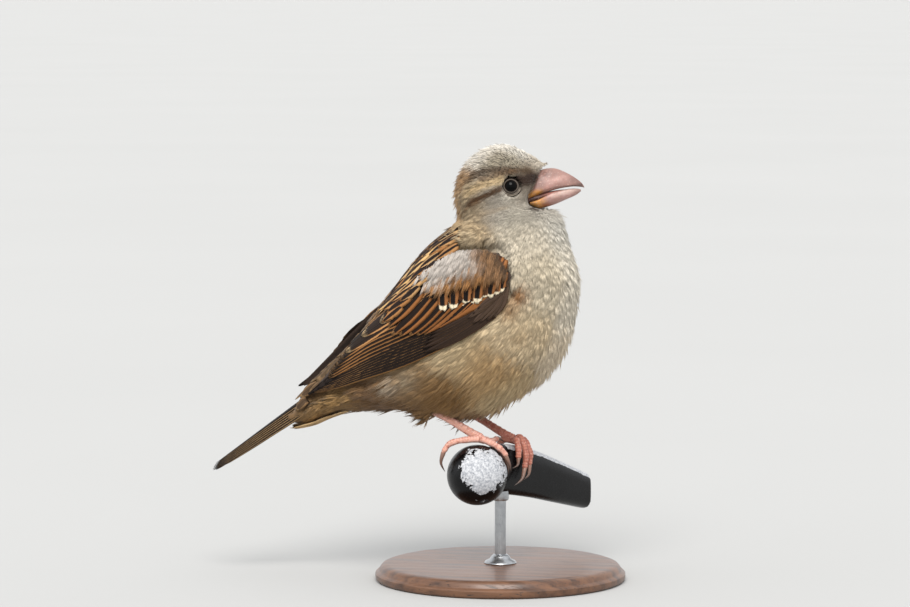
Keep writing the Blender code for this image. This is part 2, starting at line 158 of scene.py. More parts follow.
def frozen(piece, name):  # the evaluated object as a plain new object, the old one removed
    bpy.context.view_layer.update()
    graph = bpy.context.evaluated_depsgraph_get()
    mesh = bpy.data.meshes.new_from_object(piece.evaluated_get(graph))
    mesh.name = name
    bpy.data.objects.remove(piece)
    return newObject(name, mesh)


def mergedCopy(names, grow):  # the named nodes' meshes as one mesh, grown along its normals
    made = bmesh.new()
    for name in names:
        made.from_mesh(nodes[name].data)
    bmesh.ops.remove_doubles(made, verts=made.verts, dist=0.002 * mm)
    made.normal_update()
    for vertex in made.verts:
        vertex.co += vertex.normal * grow * mm
    return meshOf("merged", made)


colourFields = ("tone", "tipTone", "core", "edge")


def setFields(mesh, **fields):  # attributes, from a number, a direction or a colour for each point
    for name, values in fields.items():
        values = np.asarray(values, float)
        kind, key = ("FLOAT", "value") if values.ndim == 1 else ("FLOAT_VECTOR", "vector")
        if name in colourFields:
            kind, key = "FLOAT_COLOR", "color"
            values = np.hstack([values, np.ones((len(values), 1))])
        layer = mesh.attributes.new(name, kind, "POINT")
        layer.data.foreach_set(key, values.astype(np.float32).ravel())


def setPatches(mesh, places):  # the baking map, from one place for each point
    corners = np.zeros(len(mesh.loops), np.int32)
    mesh.loops.foreach_get("vertex_index", corners)
    layer = mesh.uv_layers.new(name="OFBake")
    layer.data.foreach_set("uv", np.asarray(places, np.float32)[corners].ravel())


def readPoints(mesh):
    found = np.zeros(len(mesh.vertices) * 3, np.float32)
    mesh.vertices.foreach_get("co", found)
    return found.reshape(-1, 3).astype(float)


def readVectors(source):  # directions kept for each point, such as mesh.vertex_normals
    found = np.zeros(len(source) * 3, np.float32)
    source.foreach_get("vector", found)
    return found.reshape(-1, 3).astype(float)


def ridge(piece, slot, *replaced):
    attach(piece, "root")
    if replaced:
        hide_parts(*replaced)
    return piece


# shader and geometry nodes


class Wire:  # a node's output: + - * on it make maths nodes
    def __init__(self, socket):
        self.socket, self.tree = socket, socket.id_data

    def joined(self, operation, first, second):
        if self.socket.type in ("VALUE", "INT"):
            return maths(operation, first, second)
        key, operation = ("Scale", "SCALE") if operation == "MULTIPLY" else (1, operation)
        return wired(self.tree, "ShaderNodeVectorMath", {0: first, key: second}, operation=operation)

    def __add__(self, other):
        return self.joined("ADD", self, other)

    def __sub__(self, other):
        return self.joined("SUBTRACT", self, other)

    def __rsub__(self, other):
        return self.joined("SUBTRACT", other, self)

    def __mul__(self, other):
        return self.joined("MULTIPLY", self, other)


def addNode(tree, kind, inputs=(), **settings):
    made = tree.nodes.new(kind)
    for name, value in settings.items():
        setattr(made, name, value)
    for key, value in dict(inputs).items():
        if isinstance(value, Wire):
            tree.links.new(value.socket, made.inputs[key])
        else:
            made.inputs[key].default_value = value
    return made


def wired(tree, kind, inputs=(), output=0, **settings):  # a new node's output
    return Wire(addNode(tree, kind, inputs, **settings).outputs[output])


def maths(operation, *values):
    tree = [value.tree for value in values if isinstance(value, Wire)][0]
    return wired(tree, "ShaderNodeMath", enumerate(values), operation=operation)


def ramp(value, low, high):  # 0 under low, 1 over high, smooth between
    inputs = {"Value": value, "From Min": low, "From Max": high}
    return wired(value.tree, "ShaderNodeMapRange", inputs, interpolation_type="SMOOTHSTEP")


def mixed(share, first, second):  # two colours by a share, each a wire or a painted colour
    inputs = {0: share}
    for key, colour in ((6, first), (7, second)):
        inputs[key] = colour if isinstance(colour, Wire) else (*colour, 1.0)
    return wired(share.tree, "ShaderNodeMix", inputs, 2, data_type="RGBA")


def readField(tree, name, output="Vector"):
    return wired(tree, "ShaderNodeAttribute", output=output, attribute_name=name)


def parted(vector):
    return [Wire(socket) for socket in addNode(vector.tree, "ShaderNodeSeparateXYZ", {0: vector}).outputs]


def together(x, y, z):
    return wired(x.tree, "ShaderNodeCombineXYZ", {0: x, 1: y, 2: z})


def stretched(place, *scale):
    return wired(place.tree, "ShaderNodeMapping", {"Vector": place, "Scale": scale})


def noise(place, scale, detail=3.0, roughness=0.5):
    inputs = {"Vector": place, "Scale": scale, "Detail": detail, "Roughness": roughness}
    return wired(place.tree, "ShaderNodeTexNoise", inputs, "Fac")


def objectPlace(tree):
    return wired(tree, "ShaderNodeTexCoord", output="Object")


def newMaterial(name, sockets):
    made = bpy.data.materials.new(name)
    made.use_nodes = True
    for key, value in sockets.items():
        made.node_tree.nodes["Principled BSDF"].inputs[key].default_value = value
    return made, made.node_tree


def finished(made, colour, height=None, depth=0.0, roughness=None):
    ties = {"Base Color": colour}
    if roughness is not None:
        ties["Roughness"] = roughness
    if height is not None:
        ties["Normal"] = wired(made.node_tree, "ShaderNodeBump", {"Height": height, "Distance": depth * mm})
    for key, wire in ties.items():
        made.node_tree.links.new(wire.socket, made.node_tree.nodes["Principled BSDF"].inputs[key])
    return made


featherGloss = {"Roughness": 0.78, "Specular IOR Level": 0.28, "Sheen Weight": 0.12, "Sheen Roughness": 0.5}


def plumeMaterial():  # small body feathers, from the attributes that each tuft carries
    made, tree = newMaterial("plumage", featherGloss)
    across, along, chance = parted(readField(tree, "plumeAt"))
    luck = parted(readField(tree, "luck"))[0]
    streak = readField(tree, "streak", "Fac")
    atTip = ramp(along, 0.62, 1.0)
    colour = mixed(atTip, readField(tree, "tone", "Color"), readField(tree, "tipTone", "Color"))
    side = maths("ABSOLUTE", across)
    dark = (1 - ramp(side, 0.1, 0.55)) * streak * ramp(along, 0.98, 0.7)
    # darker towards each strand's root: the feathers' darker bases, with painted shade where the tufts
    # overlap
    root = 1.08 - (1 - ramp(along, 0.05, 0.7)) * (streak * 0.7 + 0.03)
    # painted shade: darker along each strand's sides, the crevices between the feathers
    rim = ramp(side, 0.55, 1.0) * ramp(along, 0.95, 0.6)
    shade = root * ((luck - 0.5) * (streak * 0.26 + 0.15) + 1) * (chance * 0.42 + 0.79) * (1 - rim * 0.14)
    return finished(made, colour * (1 - dark * 0.7) * shade)


def vaneMaterial():  # large feathers: a core colour, edges, a tip and the lines of the barbs
    made, tree = newMaterial("vanes", {"Roughness": 0.7, "Specular IOR Level": 0.12})
    across, along, seed = parted(readField(tree, "vaneAt"))
    wide, far = parted(readField(tree, "vaneSize"))[:2]  # millimetres across and along
    outer, inner, tip = parted(readField(tree, "pattern"))
    span = maths("ABSOLUTE", wide)
    lines = noise(together((span * -0.9 + far) * 5.5, span * 0.5, seed), 1.0, 3.0, 0.6)
    ragged = lines * 0.30 - 0.15
    edgeward = across + ragged
    lowSide = ramp(edgeward * -1.0, outer - 0.07, outer + 0.07)
    highSide = ramp(edgeward, inner - 0.07, inner + 0.07)
    atEdge = maths("MAXIMUM", lowSide, highSide)
    atTip = ramp(ragged * 0.5 + along, tip - 0.03, tip + 0.03)
    colour = mixed(atEdge, readField(tree, "core", "Color"), readField(tree, "edge", "Color"))
    colour = mixed(atTip, colour, readField(tree, "tipTone", "Color"))
    shaft = 1 - ramp(span, 0.05, 0.16)
    patch = noise(together(far * 0.35, wide * 0.6, seed), 1.0, 2.0)
    shade = (lines * 0.75 + 0.62) * (patch * 0.4 + 0.8)
    return finished(made, colour * (1 - shaft * 0.35) * shade, lines + shaft * 0.8, 0.09)


def skinMaterial():  # feather roots, in the coat's own colours but darker: painted shade in the gaps between the tufts
    made, tree = newMaterial("featherBed", dict(featherGloss, Roughness=0.9))
    grain = noise(objectPlace(tree), 900.0, 4.0, 0.6)
    return finished(made, readField(tree, "tone", "Color") * (grain * 0.4 + 0.72), grain, 0.3)


plumage, vanes, featherBed = plumeMaterial(), vaneMaterial(), skinMaterial()
print("materials ready")

# the bird's own shapes: head axes, wing faces and the tail, in millimetres about the feet

headPlace = {"centre": (-0.1, 0.0, 77.9), "pitch": 13, "yaw": 8, "pivot": (1.4, 0.0)}
eyePlace = {"centre": (2.9, 6.0, -1.9), "radius": 3.15, "faces": (0.10, 0.96, 0.22), "opening": 1.98,
            "rings": 34, "sides": 56, "pupil": 1.5, "bulge": 0.12}


def headMatrix():
    pivot = Matrix.Translation((*headPlace["pivot"], 0))
    turn = pivot @ Matrix.Rotation(math.radians(headPlace["yaw"]), 4, "Z") @ pivot.inverted()
    tilt = Matrix.Rotation(-math.radians(headPlace["pitch"]), 4, "Y")
    return turn @ Matrix.Translation(headPlace["centre"]) @ tilt


headTurn = headMatrix()
headSquare, headShift = np.array(headTurn.to_3x3()), np.array(headTurn.translation)


def fromHead(point):  # from the head's forward, sideways and up to the bird's axes
    return headTurn @ Vector(point)


def toHead(points):
    return (np.asarray(points, float) - headShift) @ headSquare


def eyeFrame(side):  # the eye's middle, the way that it looks and two ways across
    mirror = np.array((1, side, 1))
    centre = np.array(fromHead(mirror * eyePlace["centre"]))
    axis = unit(headSquare @ (mirror * eyePlace["faces"]))
    right = unit(np.cross(axis, (0, 0, 1)))
    return centre, axis, right, np.cross(right, axis)


# rows run from the wrist to the wing's tip: low edge, high edge and how far the face bulges between
wingShape = {
    "rows": (
        ((6.4, -20.4, 46.5), (3.4, -17.2, 59.4), 1.4),
        ((-2.4, -21.8, 38.1), (-7.5, -15.4, 58.4), 3.0),
        ((-11.7, -21.6, 32.5), (-19.3, -12.6, 51.7), 3.8),
        ((-27.8, -17.6, 22.3), (-33.5, -8.8, 40.0), 3.6),
        ((-42.0, -11.2, 16.9), (-46.7, -6.4, 26.9), 1.8),
        ((-58.3, -5.0, 11.8), (-58.6, -4.6, 13.4), 0.0),
    ),
    "outward": (-0.25, -0.85, 0.45),
    "wrist": (5.0, 53.0),  # in the side view, forward and up
    "slope": (0.8437, 0.5368),  # cosine and sine of the folded wing's slope there
    "leftShift": (-6.2, 0.0, 0.9),
    "length": 75.3,
}
wingOut = Vector(wingShape["outward"]).normalized()
wingRows = smoothRows([(*low, *high, bulge) for low, high, bulge in wingShape["rows"]], 6)


def wingPoint(along, across):  # a point of the right wing's inner face, and past its edges
    reach = along * (len(wingRows) - 1)
    near = min(max(int(reach), 0), len(wingRows) - 2)
    row = wingRows[near] + (wingRows[near + 1] - wingRows[near]) * (reach - near)
    point = Vector(row[0:3]).lerp(Vector(row[3:6]), across)
    return point + wingOut * row[6] * 4 * max(across * (1 - across), -0.25)


def gridFaces(rows, columns):
    return [(i * columns + j, i * columns + j + 1, (i + 1) * columns + j + 1, (i + 1) * columns + j)
            for i in range(rows - 1) for j in range(columns - 1)]


def wingFace():
    alongs, acrosses = np.linspace(-0.08, 1.06, 70), np.linspace(-0.45, 1.5, 30)
    points = [wingPoint(a, b) for a in alongs for b in acrosses]
    return BVHTree.FromPolygons(points, gridFaces(len(alongs), len(acrosses)))


wingTree = wingFace()


def onWing(along, across, lift):  # along and across the folded wing from the wrist, in its side view
    (x, z), (c, s) = wingShape["wrist"], wingShape["slope"]
    x = x - c * along - s * across - wingOut.x * lift
    z = z - s * along + c * across - wingOut.z * lift
    hit = wingTree.ray_cast(Vector((x, -80, z)), Vector((0, 1, 0)))[0]
    if hit is None:
        hit = wingTree.find_nearest(Vector((x, -12, z)))[0]
    return hit + wingOut * lift - Vector((0, 1.6 * fade(along, 45, 68), 0))


def toLeftWing(point, along):
    shift = Vector(wingShape["leftShift"]) * (0.4 + 0.6 * along / wingShape["length"])
    return Vector((point.x, -point.y, point.z)) + shift


# the skin under the coat

bodyNodes = ["head", "neck", "trunk", "tail_coverts", "thigh_right", "thigh_left"]
wingPanels = ("coverts", "secondaries", "primaries")
wingNodes = [f"wing_{side}_{part}" for side in ("right", "left") for part in wingPanels]
skinMake = {"voxel": 0.8, "grow": 0.32, "smooth": 6, "finish": 4}


def remeshed(mesh, name, voxel, smooth):
    piece = newObject(name, mesh)
    maker = piece.modifiers.new("even", "REMESH")
    maker.mode, maker.voxel_size = "VOXEL", voxel * mm
    maker.use_smooth_shade = True
    calm = piece.modifiers.new("calm", "SMOOTH")
    calm.factor, calm.iterations = 0.5, smooth
    return frozen(piece, name)


def surfaceTree(piece):
    made = bmesh.new()
    made.from_mesh(piece.data)
    bmesh.ops.scale(made, vec=(1 / mm,) * 3, verts=made.verts)
    bmesh.ops.translate(made, vec=(0, 0, -footLevel), verts=made.verts)
    tree = BVHTree.FromBMesh(made)
    made.free()
    return tree


whole = remeshed(mergedCopy(bodyNodes[:4] + wingNodes, skinMake["grow"]), "whole", 0.9, 14)
wholeTree = surfaceTree(whole)
bpy.data.objects.remove(whole)
skin = remeshed(mergedCopy(bodyNodes, skinMake["grow"]), "skin", skinMake["voxel"], skinMake["smooth"])
bodyTree = surfaceTree(skin)


def mirroredGuides(guides):  # a guide off the middle plane also stands on the other side
    found = []
    for place, value in guides:
        found.append((place, value))
        h, s, v = toHead(place)
        other = (place[0], -place[1], place[2])
        if place[2] > 66.5 and abs(s) > 0.5:
            other = tuple(fromHead((h, -s, v)))
        if abs(s) > 0.5 or abs(place[1]) > 0.5:
            found.append((other, value))
    return found


def blend(points, guides, reach):  # guides of a place with its values or colour, blended by nearness
    guides = mirroredGuides(guides)
    places = np.array([place for place, value in guides], float)
    values = np.array([paint(value) if isinstance(value, str) else value for place, value in guides], float)
    gaps = ((points[:, None, :] - places[None]) ** 2).sum(2)
    gaps -= gaps.min(1, keepdims=True)
    weights = np.exp(-gaps / (2 * reach**2))
    return (weights @ values) / weights.sum(1, keepdims=True)


def onTheHead(rows):  # guides placed by the head's own axes
    return [(tuple(fromHead(place)), value) for place, value in rows]


def headWays(rows):  # directions by the head's own axes, too
    return [(place, tuple(headTurn.to_3x3() @ Vector(way))) for place, way in onTheHead(rows)]


# how far the coat stands over the skin, and each tuft's length, breadth and rise in degrees
coatGuides = onTheHead([
    ((15.5, 0, 3.0), (1.35, 1.4, 0.9, 5)),  # forehead
    ((13.0, 0, 6.0), (2.5, 1.8, 1.2, 8)),
    ((10.0, 5, -1.5), (0.45, 1.5, 0.7, 12)),  # lores
    ((6.0, 0, 9.8), (0.8, 2.6, 1.5, 14)),  # crown
    ((-3.0, 0, 10.5), (1.0, 3.0, 1.8, 16)),
    ((-10.0, 0, 5.5), (1.2, 3.6, 1.9, 18)),  # nape
    ((2.0, 9, 3.0), (0.6, 2.0, 1.1, 11)),  # brow
    ((3.0, 8, -6.0), (0.6, 2.0, 0.9, 11)),  # under the eye
    ((-4.0, 10, -3.0), (0.9, 3.0, 1.1, 12)),  # ear
    ((0.0, 9, -9.5), (0.9, 3.0, 1.1, 13)),  # cheek
    ((10.0, 0, -11.0), (0.6, 2.2, 0.8, 16)),  # chin
    ((6.5, 4, -10.5), (0.6, 2.0, 0.8, 13)),  # malar
]) + [
    ((12.5, 0, 66), (1.4, 3.6, 1.5, 18)),  # throat
    ((-10.0, 10, 64), (1.5, 4.6, 2.1, 18)),  # side of the neck
    ((8.0, 16, 62), (1.6, 4.4, 2.0, 18)),
    ((23.0, 0, 52), (1.7, 4.2, 2.2, 18)),  # breast
    ((16.0, 17, 48), (1.7, 4.6, 2.4, 17)),
    ((22.0, 0, 36), (2.2, 5.2, 2.3, 17)),
    ((8.0, 20, 33), (1.8, 6.2, 2.3, 15)),  # side of the breast
    ((15.0, 0, 20), (3.0, 6.4, 1.9, 17)),  # belly
    ((-3.0, 17, 18), (2.2, 7.6, 2.0, 16)),  # flank
    ((-22.0, 18, 20), (1.8, 8.0, 2.2, 14)),
    ((-15.0, 0, 8), (2.6, 6.6, 1.8, 15)),
    ((-38.0, 12, 14), (1.4, 8.0, 2.6, 11)),  # vent
    ((-45.0, 0, 8), (1.2, 7.5, 2.8, 10)),
    ((-57.0, 0, 3), (1.5, 5.0, 2.4, 4)),  # under the tail
    ((-18.0, 0, 62), (1.2, 5.0, 3.0, 11)),  # mantle
    ((-34.0, 0, 44), (1.2, 6.6, 3.6, 9)),  # back
    ((-50.0, 0, 25), (1.0, 7.0, 4.0, 7)),  # rump
    ((-60.0, 0, 12), (1.7, 3.6, 2.4, 3)),
    ((-48.0, 8, 21), (2.6, 5.0, 2.6, 6)),  # under the wings' tips
    ((-56.0, 6, 14), (2.8, 4.4, 2.4, 5)),
]


# which way the feathers lie
lieGuides = headWays([
    ((16.0, 0, 1.5), (-0.8, 0, 0.8)), ((13.5, 0, 5), (-0.9, 0, 0.6)), ((8.0, 0, 9), (-1, 0, 0.3)),
    ((1.0, 0, 10.8), (-1, 0, 0)), ((-6.0, 0, 9), (-1, 0, -0.6)), ((-12.0, 0, 3), (-0.5, 0, -1)),
    ((-12.0, 0, -6), (-0.15, 0, -1)), ((12.0, 5, 2), (-1, 0, 0.5)), ((11.0, 5, -3), (-1, 0, 0.1)),
    ((7.0, 7, -7), (-1, 0, -0.25)), ((10.0, 3, -10), (-0.7, 0, -0.75)), ((2.0, 9, 4), (-1, 0, 0.1)),
    ((-6.0, 9, 3), (-1, 0, -0.25)), ((-4.0, 10, -4), (-1, 0, -0.3)), ((2.0, 9, -7), (-1, 0, -0.4)),
    ((4.0, 6, -11), (-0.8, 0, -0.7)), ((9.0, 0, -12), (-0.35, 0, -1)), ((13.0, 0, -11), (0.1, 0, -1)),
    ((12.0, 3, -10.5), (-0.3, 0, -1)),
]) + [
    ((14.0, 0, 66), (0.15, 0, -1)), ((20.0, 0, 58), (0.1, 0, -1)), ((24.5, 0, 46), (-0.1, 0, -1)),
    ((22.0, 0, 32), (-0.35, 0, -1)), ((15.0, 0, 18), (-0.75, 0, -0.75)), ((0.0, 0, 8), (-1, 0, -0.3)),
    ((-20.0, 0, 5), (-1, 0, 0.05)), ((-40.0, 0, 7), (-1, 0, -0.2)), ((-56.0, 0, 3), (-0.8, 0, -0.6)),
    ((2.0, 15, 66), (-0.35, 0, -1)), ((-8.0, 12, 66), (-0.7, 0, -0.9)), ((13.0, 16, 56), (-0.15, 0, -1)),
    ((14.0, 18, 42), (-0.45, 0, -1)), ((6.0, 21, 30), (-0.75, 0, -0.85)), ((-6.0, 20, 22), (-0.85, 0, -0.75)),
    ((-22.0, 18, 22), (-0.9, 0, -0.55)), ((-38.0, 12, 16), (-0.95, 0, -0.4)),
    ((-16.0, 0, 64), (-0.8, 0, -0.6)), ((-30.0, 0, 49), (-0.75, 0, -0.7)), ((-48.0, 0, 27), (-0.8, 0, -0.6)),
    ((-62.0, 0, 12), (-0.8, 0, -0.6)),
]
bodyTones = [  # the coat's colours over the body
    ((14.0, 0, 66), "beb9ae"), ((8.0, 13, 64), "b8ae9c"), ((-7.0, 13, 64), "a79171"),
    ((22.0, 0, 54), "cdc4b3"), ((14.0, 17, 52), "b8ac96"), ((24.0, 0, 42), "ccc2b0"),
    ((20.0, 0, 28), "d4c4ab"), ((9.0, 20, 36), "c0ad8e"), ((8.0, 10, 14), "bfa882"),
    # the lower flanks and the vent: brown, darkened further as painted shade on the underside
    ((0.0, 20, 24), "b7976b"), ((-14.0, 18, 18), "87653b"), ((-10.0, 0, 8), "8c6e4c"),
    ((-24.0, 16, 20), "715333"), ((-32.0, 12, 15), "6c5033"), ((-40.0, 0, 8), "654c31"),
    ((-54.0, 0, 4), "987648"), ((-47.0, 7, 9), "947447"), ((-9.0, 20, 30), "baa684"),
    ((-24.0, 16, 23), "9b8564"),
    ((-12.0, 0, 66), "9c8361"), ((-24.0, 0, 56), "7c5b39"), ((-38.0, 0, 40), "7d6142"),
    ((-52.0, 0, 22), "6b523a"), ((-62.0, 0, 12), "5c4732"),
]
headTones = onTheHead([
    ((15.5, 0, 3), "baaf9f"), ((8, 0, 9.5), "ddd6ca"), ((-3, 0, 10.5), "ddd4c6"),
    ((-11, 0, 4), "9e7c57"), ((-13, 0, -5), "ac8b64"), ((5, 7.5, 5.5), "a89d89"),
    ((10, 5.5, -1), "614f3a"), ((7, 7, -5), "978e81"), ((-2, 10, -5), "9b9387"),
    ((-8, 9, -5), "9d8c72"), ((2, 8, -9.5), "a7a092"), ((9, 2, -11), "aea89d"),
    ((4, 4, -12), "b1aa9e"),
])
headLines = [  # markings drawn on both sides of the head, and painted brow shadow over the eye: colour, half-breadth, strength and path
    ("c4ab84", 1.3, 0.9,
     [(1.2, 8.8, 1.2), (-1.0, 9.2, 1.1), (-4.1, 9.5, 0.9), (-8.0, 9.4, 0.3), (-11.5, 9, -0.6)]),
    ("4c321b", 0.9, 0.97, [(0.4, 9.2, -1.3), (-2.5, 9.8, -1.9), (-6.1, 10, -2.5), (-9.9, 9.2, -3.2)]),
    ("6b4d2f", 0.7, 0.6, [(-6.1, 10, -3.3), (-9.0, 9.2, -4.0), (-12.5, 7, -4.4)]),
    # a dark streak from the bill to the nape, with painted brow shadow where it passes over the eye
    ("4a3320", 1.1, 0.78, [(10.0, 5.4, 1.6), (6.5, 7, 2.7), (1.3, 8, 3.9), (-3.8, 8, 4.9), (-8, 8, 3.9)]),
    # painted brow shadow just over the eye
    ("5f4327", 0.9, 0.65, [(5.5, 7.2, 2.3), (0.5, 8.4, 2.7), (-4.0, 9.0, 2.7)]),
    ("3a2b1f", 1.7, 1.0, [(9.6, 4.9, -8.4), (8.6, 5.6, -9.6), (7.6, 6.0, -10.8)]),
    ("33231a", 1.9, 0.97, [(10.2, 5.0, -0.6), (8.0, 6.6, -1.0), (6.2, 7.6, -0.2)]),
    ("57452f", 0.7, 0.6, [(11.6, 4.4, 1.2), (8.5, 6.2, 1.9)]),
    ("c7c0b2", 0.6, 0.75, [(5.9, 8.0, -4.0), (3.4, 8.8, -5.2), (0.9, 9.2, -4.3)]),
    ("94826a", 0.9, 0.4, [(1.0, 9.5, -7.2), (-4, 10, -7.4), (-8.5, 9, -7.2)]),
]
bodySpots = [  # coloured places on both sides of the body: middle, reach, colour and strength
    ((9.0, -18.6, 47.0), 3.0, "80562c", 1.0), ((6.5, -19.0, 42.6), 2.4, "93683a", 0.8),
    ((-6.5, -13.5, 62.5), 3.2, "b4a285", 0.8), ((-5.0, -15.0, 57.5), 2.0, "7a5c3e", 0.8),
    ((-11.5, -11.0, 63.5), 2.0, "85633f", 0.7), ((10.5, -19.5, 35.0), 3.0, "b29369", 0.5),
    ((-28.0, -14.0, 18.5), 2.4, "bfb4a2", 0.7), ((-22.0, -16.0, 21.0), 2.6, "bcae95", 0.6),
]


def lineGap(points, path):  # distance from each point to a broken line
    best = np.full(len(points), 1e9)
    for a, b in zip(np.array(path[:-1], float), np.array(path[1:], float)):
        share = np.clip(((points - a) @ (b - a)) / ((b - a) @ (b - a)), 0, 1)
        best = np.minimum(best, np.linalg.norm(points - (a + share[:, None] * (b - a)), axis=1))
    return best


def headShare(points):  # 1 on the head, fading down the neck
    local = toHead(points)
    level = local[:, 2] - np.interp(local[:, 0], (-14, -4, 6, 12), (-6.5, -11.0, -12.5, -13.5))
    return fade(level, -3.0, 1.5)


def coatTones(points):  # the feathers' colour at their roots, as the skin also has it
    local, sided = folded(toHead(points), 1), folded(points, -1)
    share = headShare(points)[:, None]
    tones = blend(points, bodyTones, 4.5) * (1 - share) + blend(points, headTones, 2.6) * share
    for code, breadth, strength, path in headLines:
        mark = 1 - fade(lineGap(local, path), breadth * 0.45, breadth * 1.45)
        tones = overlaid(tones, strength * mark, code)
    for middle, reach, code, strength in bodySpots:
        gap = np.linalg.norm(sided - middle, axis=1)
        tones = overlaid(tones, strength * np.exp(-((gap / reach) ** 2)), code)
    return tones


def eyeGap(points):  # distance from the nearer eye's axis, and the way out from that axis
    out = np.zeros((len(points), 3))
    best = np.full(len(points), 1e9)
    for side in (-1, 1):
        centre, axis = eyeFrame(side)[:2]
        depth = (points - centre) @ axis
        flat = points - centre - depth[:, None] * axis
        gap = np.linalg.norm(flat, axis=1) + np.where(depth < -1, 50, 0)
        closer = gap < best
        best[closer] = gap[closer]
        out[closer] = (flat / np.maximum(gap, 1e-6)[:, None])[closer]
    return best, out


def layLie(points, normals):  # the lie of the feathers on the surface, turned aside round the eyes
    ways = blend(points, lieGuides, 4.0)
    gap, out = eyeGap(points)
    toward = np.minimum((ways * out).sum(1), 0) * (1 - fade(gap, 3.0, 5.0))
    ways -= out * toward[:, None] * 1.25
    ways -= normals * (ways * normals).sum(1)[:, None]
    return ways / np.maximum(np.linalg.norm(ways, axis=1), 1e-6)[:, None]


def drawnIn(piece):  # the skin under the coat, less deep over the thighs
    points = asMillimetres(readPoints(piece.data))
    depth = blend(points, coatGuides, 5.0)[:, :1]
    legShare = fade(points[:, 2], 12.0, 6.0) * fade(points[:, 0], -32, -26)
    points -= readVectors(piece.data.vertex_normals) * depth * (1 - 0.4 * legShare[:, None])
    places = (points + (0, 0, footLevel)) * mm
    piece.data.vertices.foreach_set("co", places.astype(np.float32).ravel())
    piece.data.update()
    mesh = piece.data.copy()
    bpy.data.objects.remove(piece)
    return remeshed(mesh, "skin", skinMake["voxel"], skinMake["finish"])


skin = drawnIn(skin)
print("skin", len(skin.data.polygons), "faces")

# what every tuft reads from the skin


def unwrapSkin(piece):
    bpy.context.view_layer.objects.active = piece
    piece.select_set(True)
    bpy.ops.object.mode_set(mode="EDIT")
    bpy.ops.mesh.select_all(action="SELECT")
    bpy.ops.uv.smart_project(angle_limit=1.2, island_margin=0.004)
    bpy.ops.object.mode_set(mode="OBJECT")
    piece.data.uv_layers[0].name = "OFBake"
    piece.select_set(False)


# places along the folded wing from the wrist, and its edges there
wingOutline = {
    "ends": (-0.5, 74),
    "low": ((-3, 1, 8, 18, 28, 44, 58, 75), (-1, -4, -8, -9.5, -8.0, -6.0, -4.0, -2.0)),
    "high": ((-3, 1, 8, 16, 24, 34, 58, 75), (4, 6, 11.0, 12.0, 12.0, 9.5, 5.0, 2.5)),
    "clear": ((50, 62), (4, 1.5)),  # how far it stays from the middle plane
}


def wingShadow(points):  # 1 where a folded wing lies over the body
    (wristX, wristZ), (c, s) = wingShape["wrist"], wingShape["slope"]
    shift = np.array(wingShape["leftShift"]) * 0.7 * (points[:, 1:2] > 0)
    x, z = points[:, 0] - shift[:, 0] - wristX, points[:, 2] - shift[:, 2] - wristZ
    along, across = -x * c - z * s, z * c - x * s
    start, end = wingOutline["ends"]
    low, high, clear = (np.interp(along, *wingOutline[edge]) for edge in ("low", "high", "clear"))
    within = (start < along) & (along < end) & (low < across) & (across < high)
    return (within & (np.abs(points[:, 1]) > clear)).astype(float)


unwrapSkin(skin)
skinPoints = asMillimetres(readPoints(skin.data))
skinNormals = readVectors(skin.data.vertex_normals)
skinLocal = toHead(skinPoints)
tones = coatTones(skinPoints)
sizes = blend(skinPoints, coatGuides, 4.0)
onHead = headShare(skinPoints)
crown = onHead * fade(skinLocal[:, 2], 2.5, 5.0)
mantle = fade(skinNormals[:, 2], 0.35, 0.75) * fade(skinPoints[:, 0], -8, -14) * (1 - onHead)
breast = (1 - onHead) * fade(skinPoints[:, 0], 0, 8) * fade(skinPoints[:, 2], 22, 30)
wingLies = wingShadow(skinPoints)
eyeFar = eyeGap(skinPoints)[0]
tipLift = 0.16 * crown + 0.05 * (1 - onHead) * (1 - breast)
tipTones = tones * (1 + tipLift[:, None]) + paint("fff6e6") * (0.015 + 0.33 * crown)[:, None]
marked = fade(-tones.mean(1, keepdims=True), -0.32, -0.14)
tipTones = np.clip(tipTones * (1 - marked) + tones * marked, 0, 0.95)
streaks = 0.66 * crown + 0.03 * breast + 0.9 * mantle + 0.06
underEye = fade(-skinLocal[:, 2], 1.5, 3.0)
hidden = np.maximum(wingLies, fade(-eyeFar, -2.3 - 0.6 * underEye, -2.05 - 0.6 * underEye))
setFields(skin.data, tone=tones, tipTone=tipTones, lie=layLie(skinPoints, skinNormals), outward=skinNormals,
          tuftSize=sizes[:, 1:4], streak=streaks)

# tufts: slivers of five faces fanned out from one root, in a square of one by one

tuftKinds = {
    "scale": {"strands": 18, "round": 0.70, "ragged": 0.20, "waist": 0.43, "sliver": 1.3, "bow": 0.06},
    "feather": {"strands": 12, "round": 0.50, "ragged": 0.30, "waist": 0.42, "sliver": 1.15, "bow": 0.08},
    "hair": {"strands": 9, "round": 0.35, "ragged": 0.62, "waist": 0.34, "sliver": 0.72, "bow": 0.06},
    "fluff": {"strands": 10, "round": 0.30, "ragged": 0.35, "waist": 0.55, "sliver": 0.7, "bow": 0.14},
}


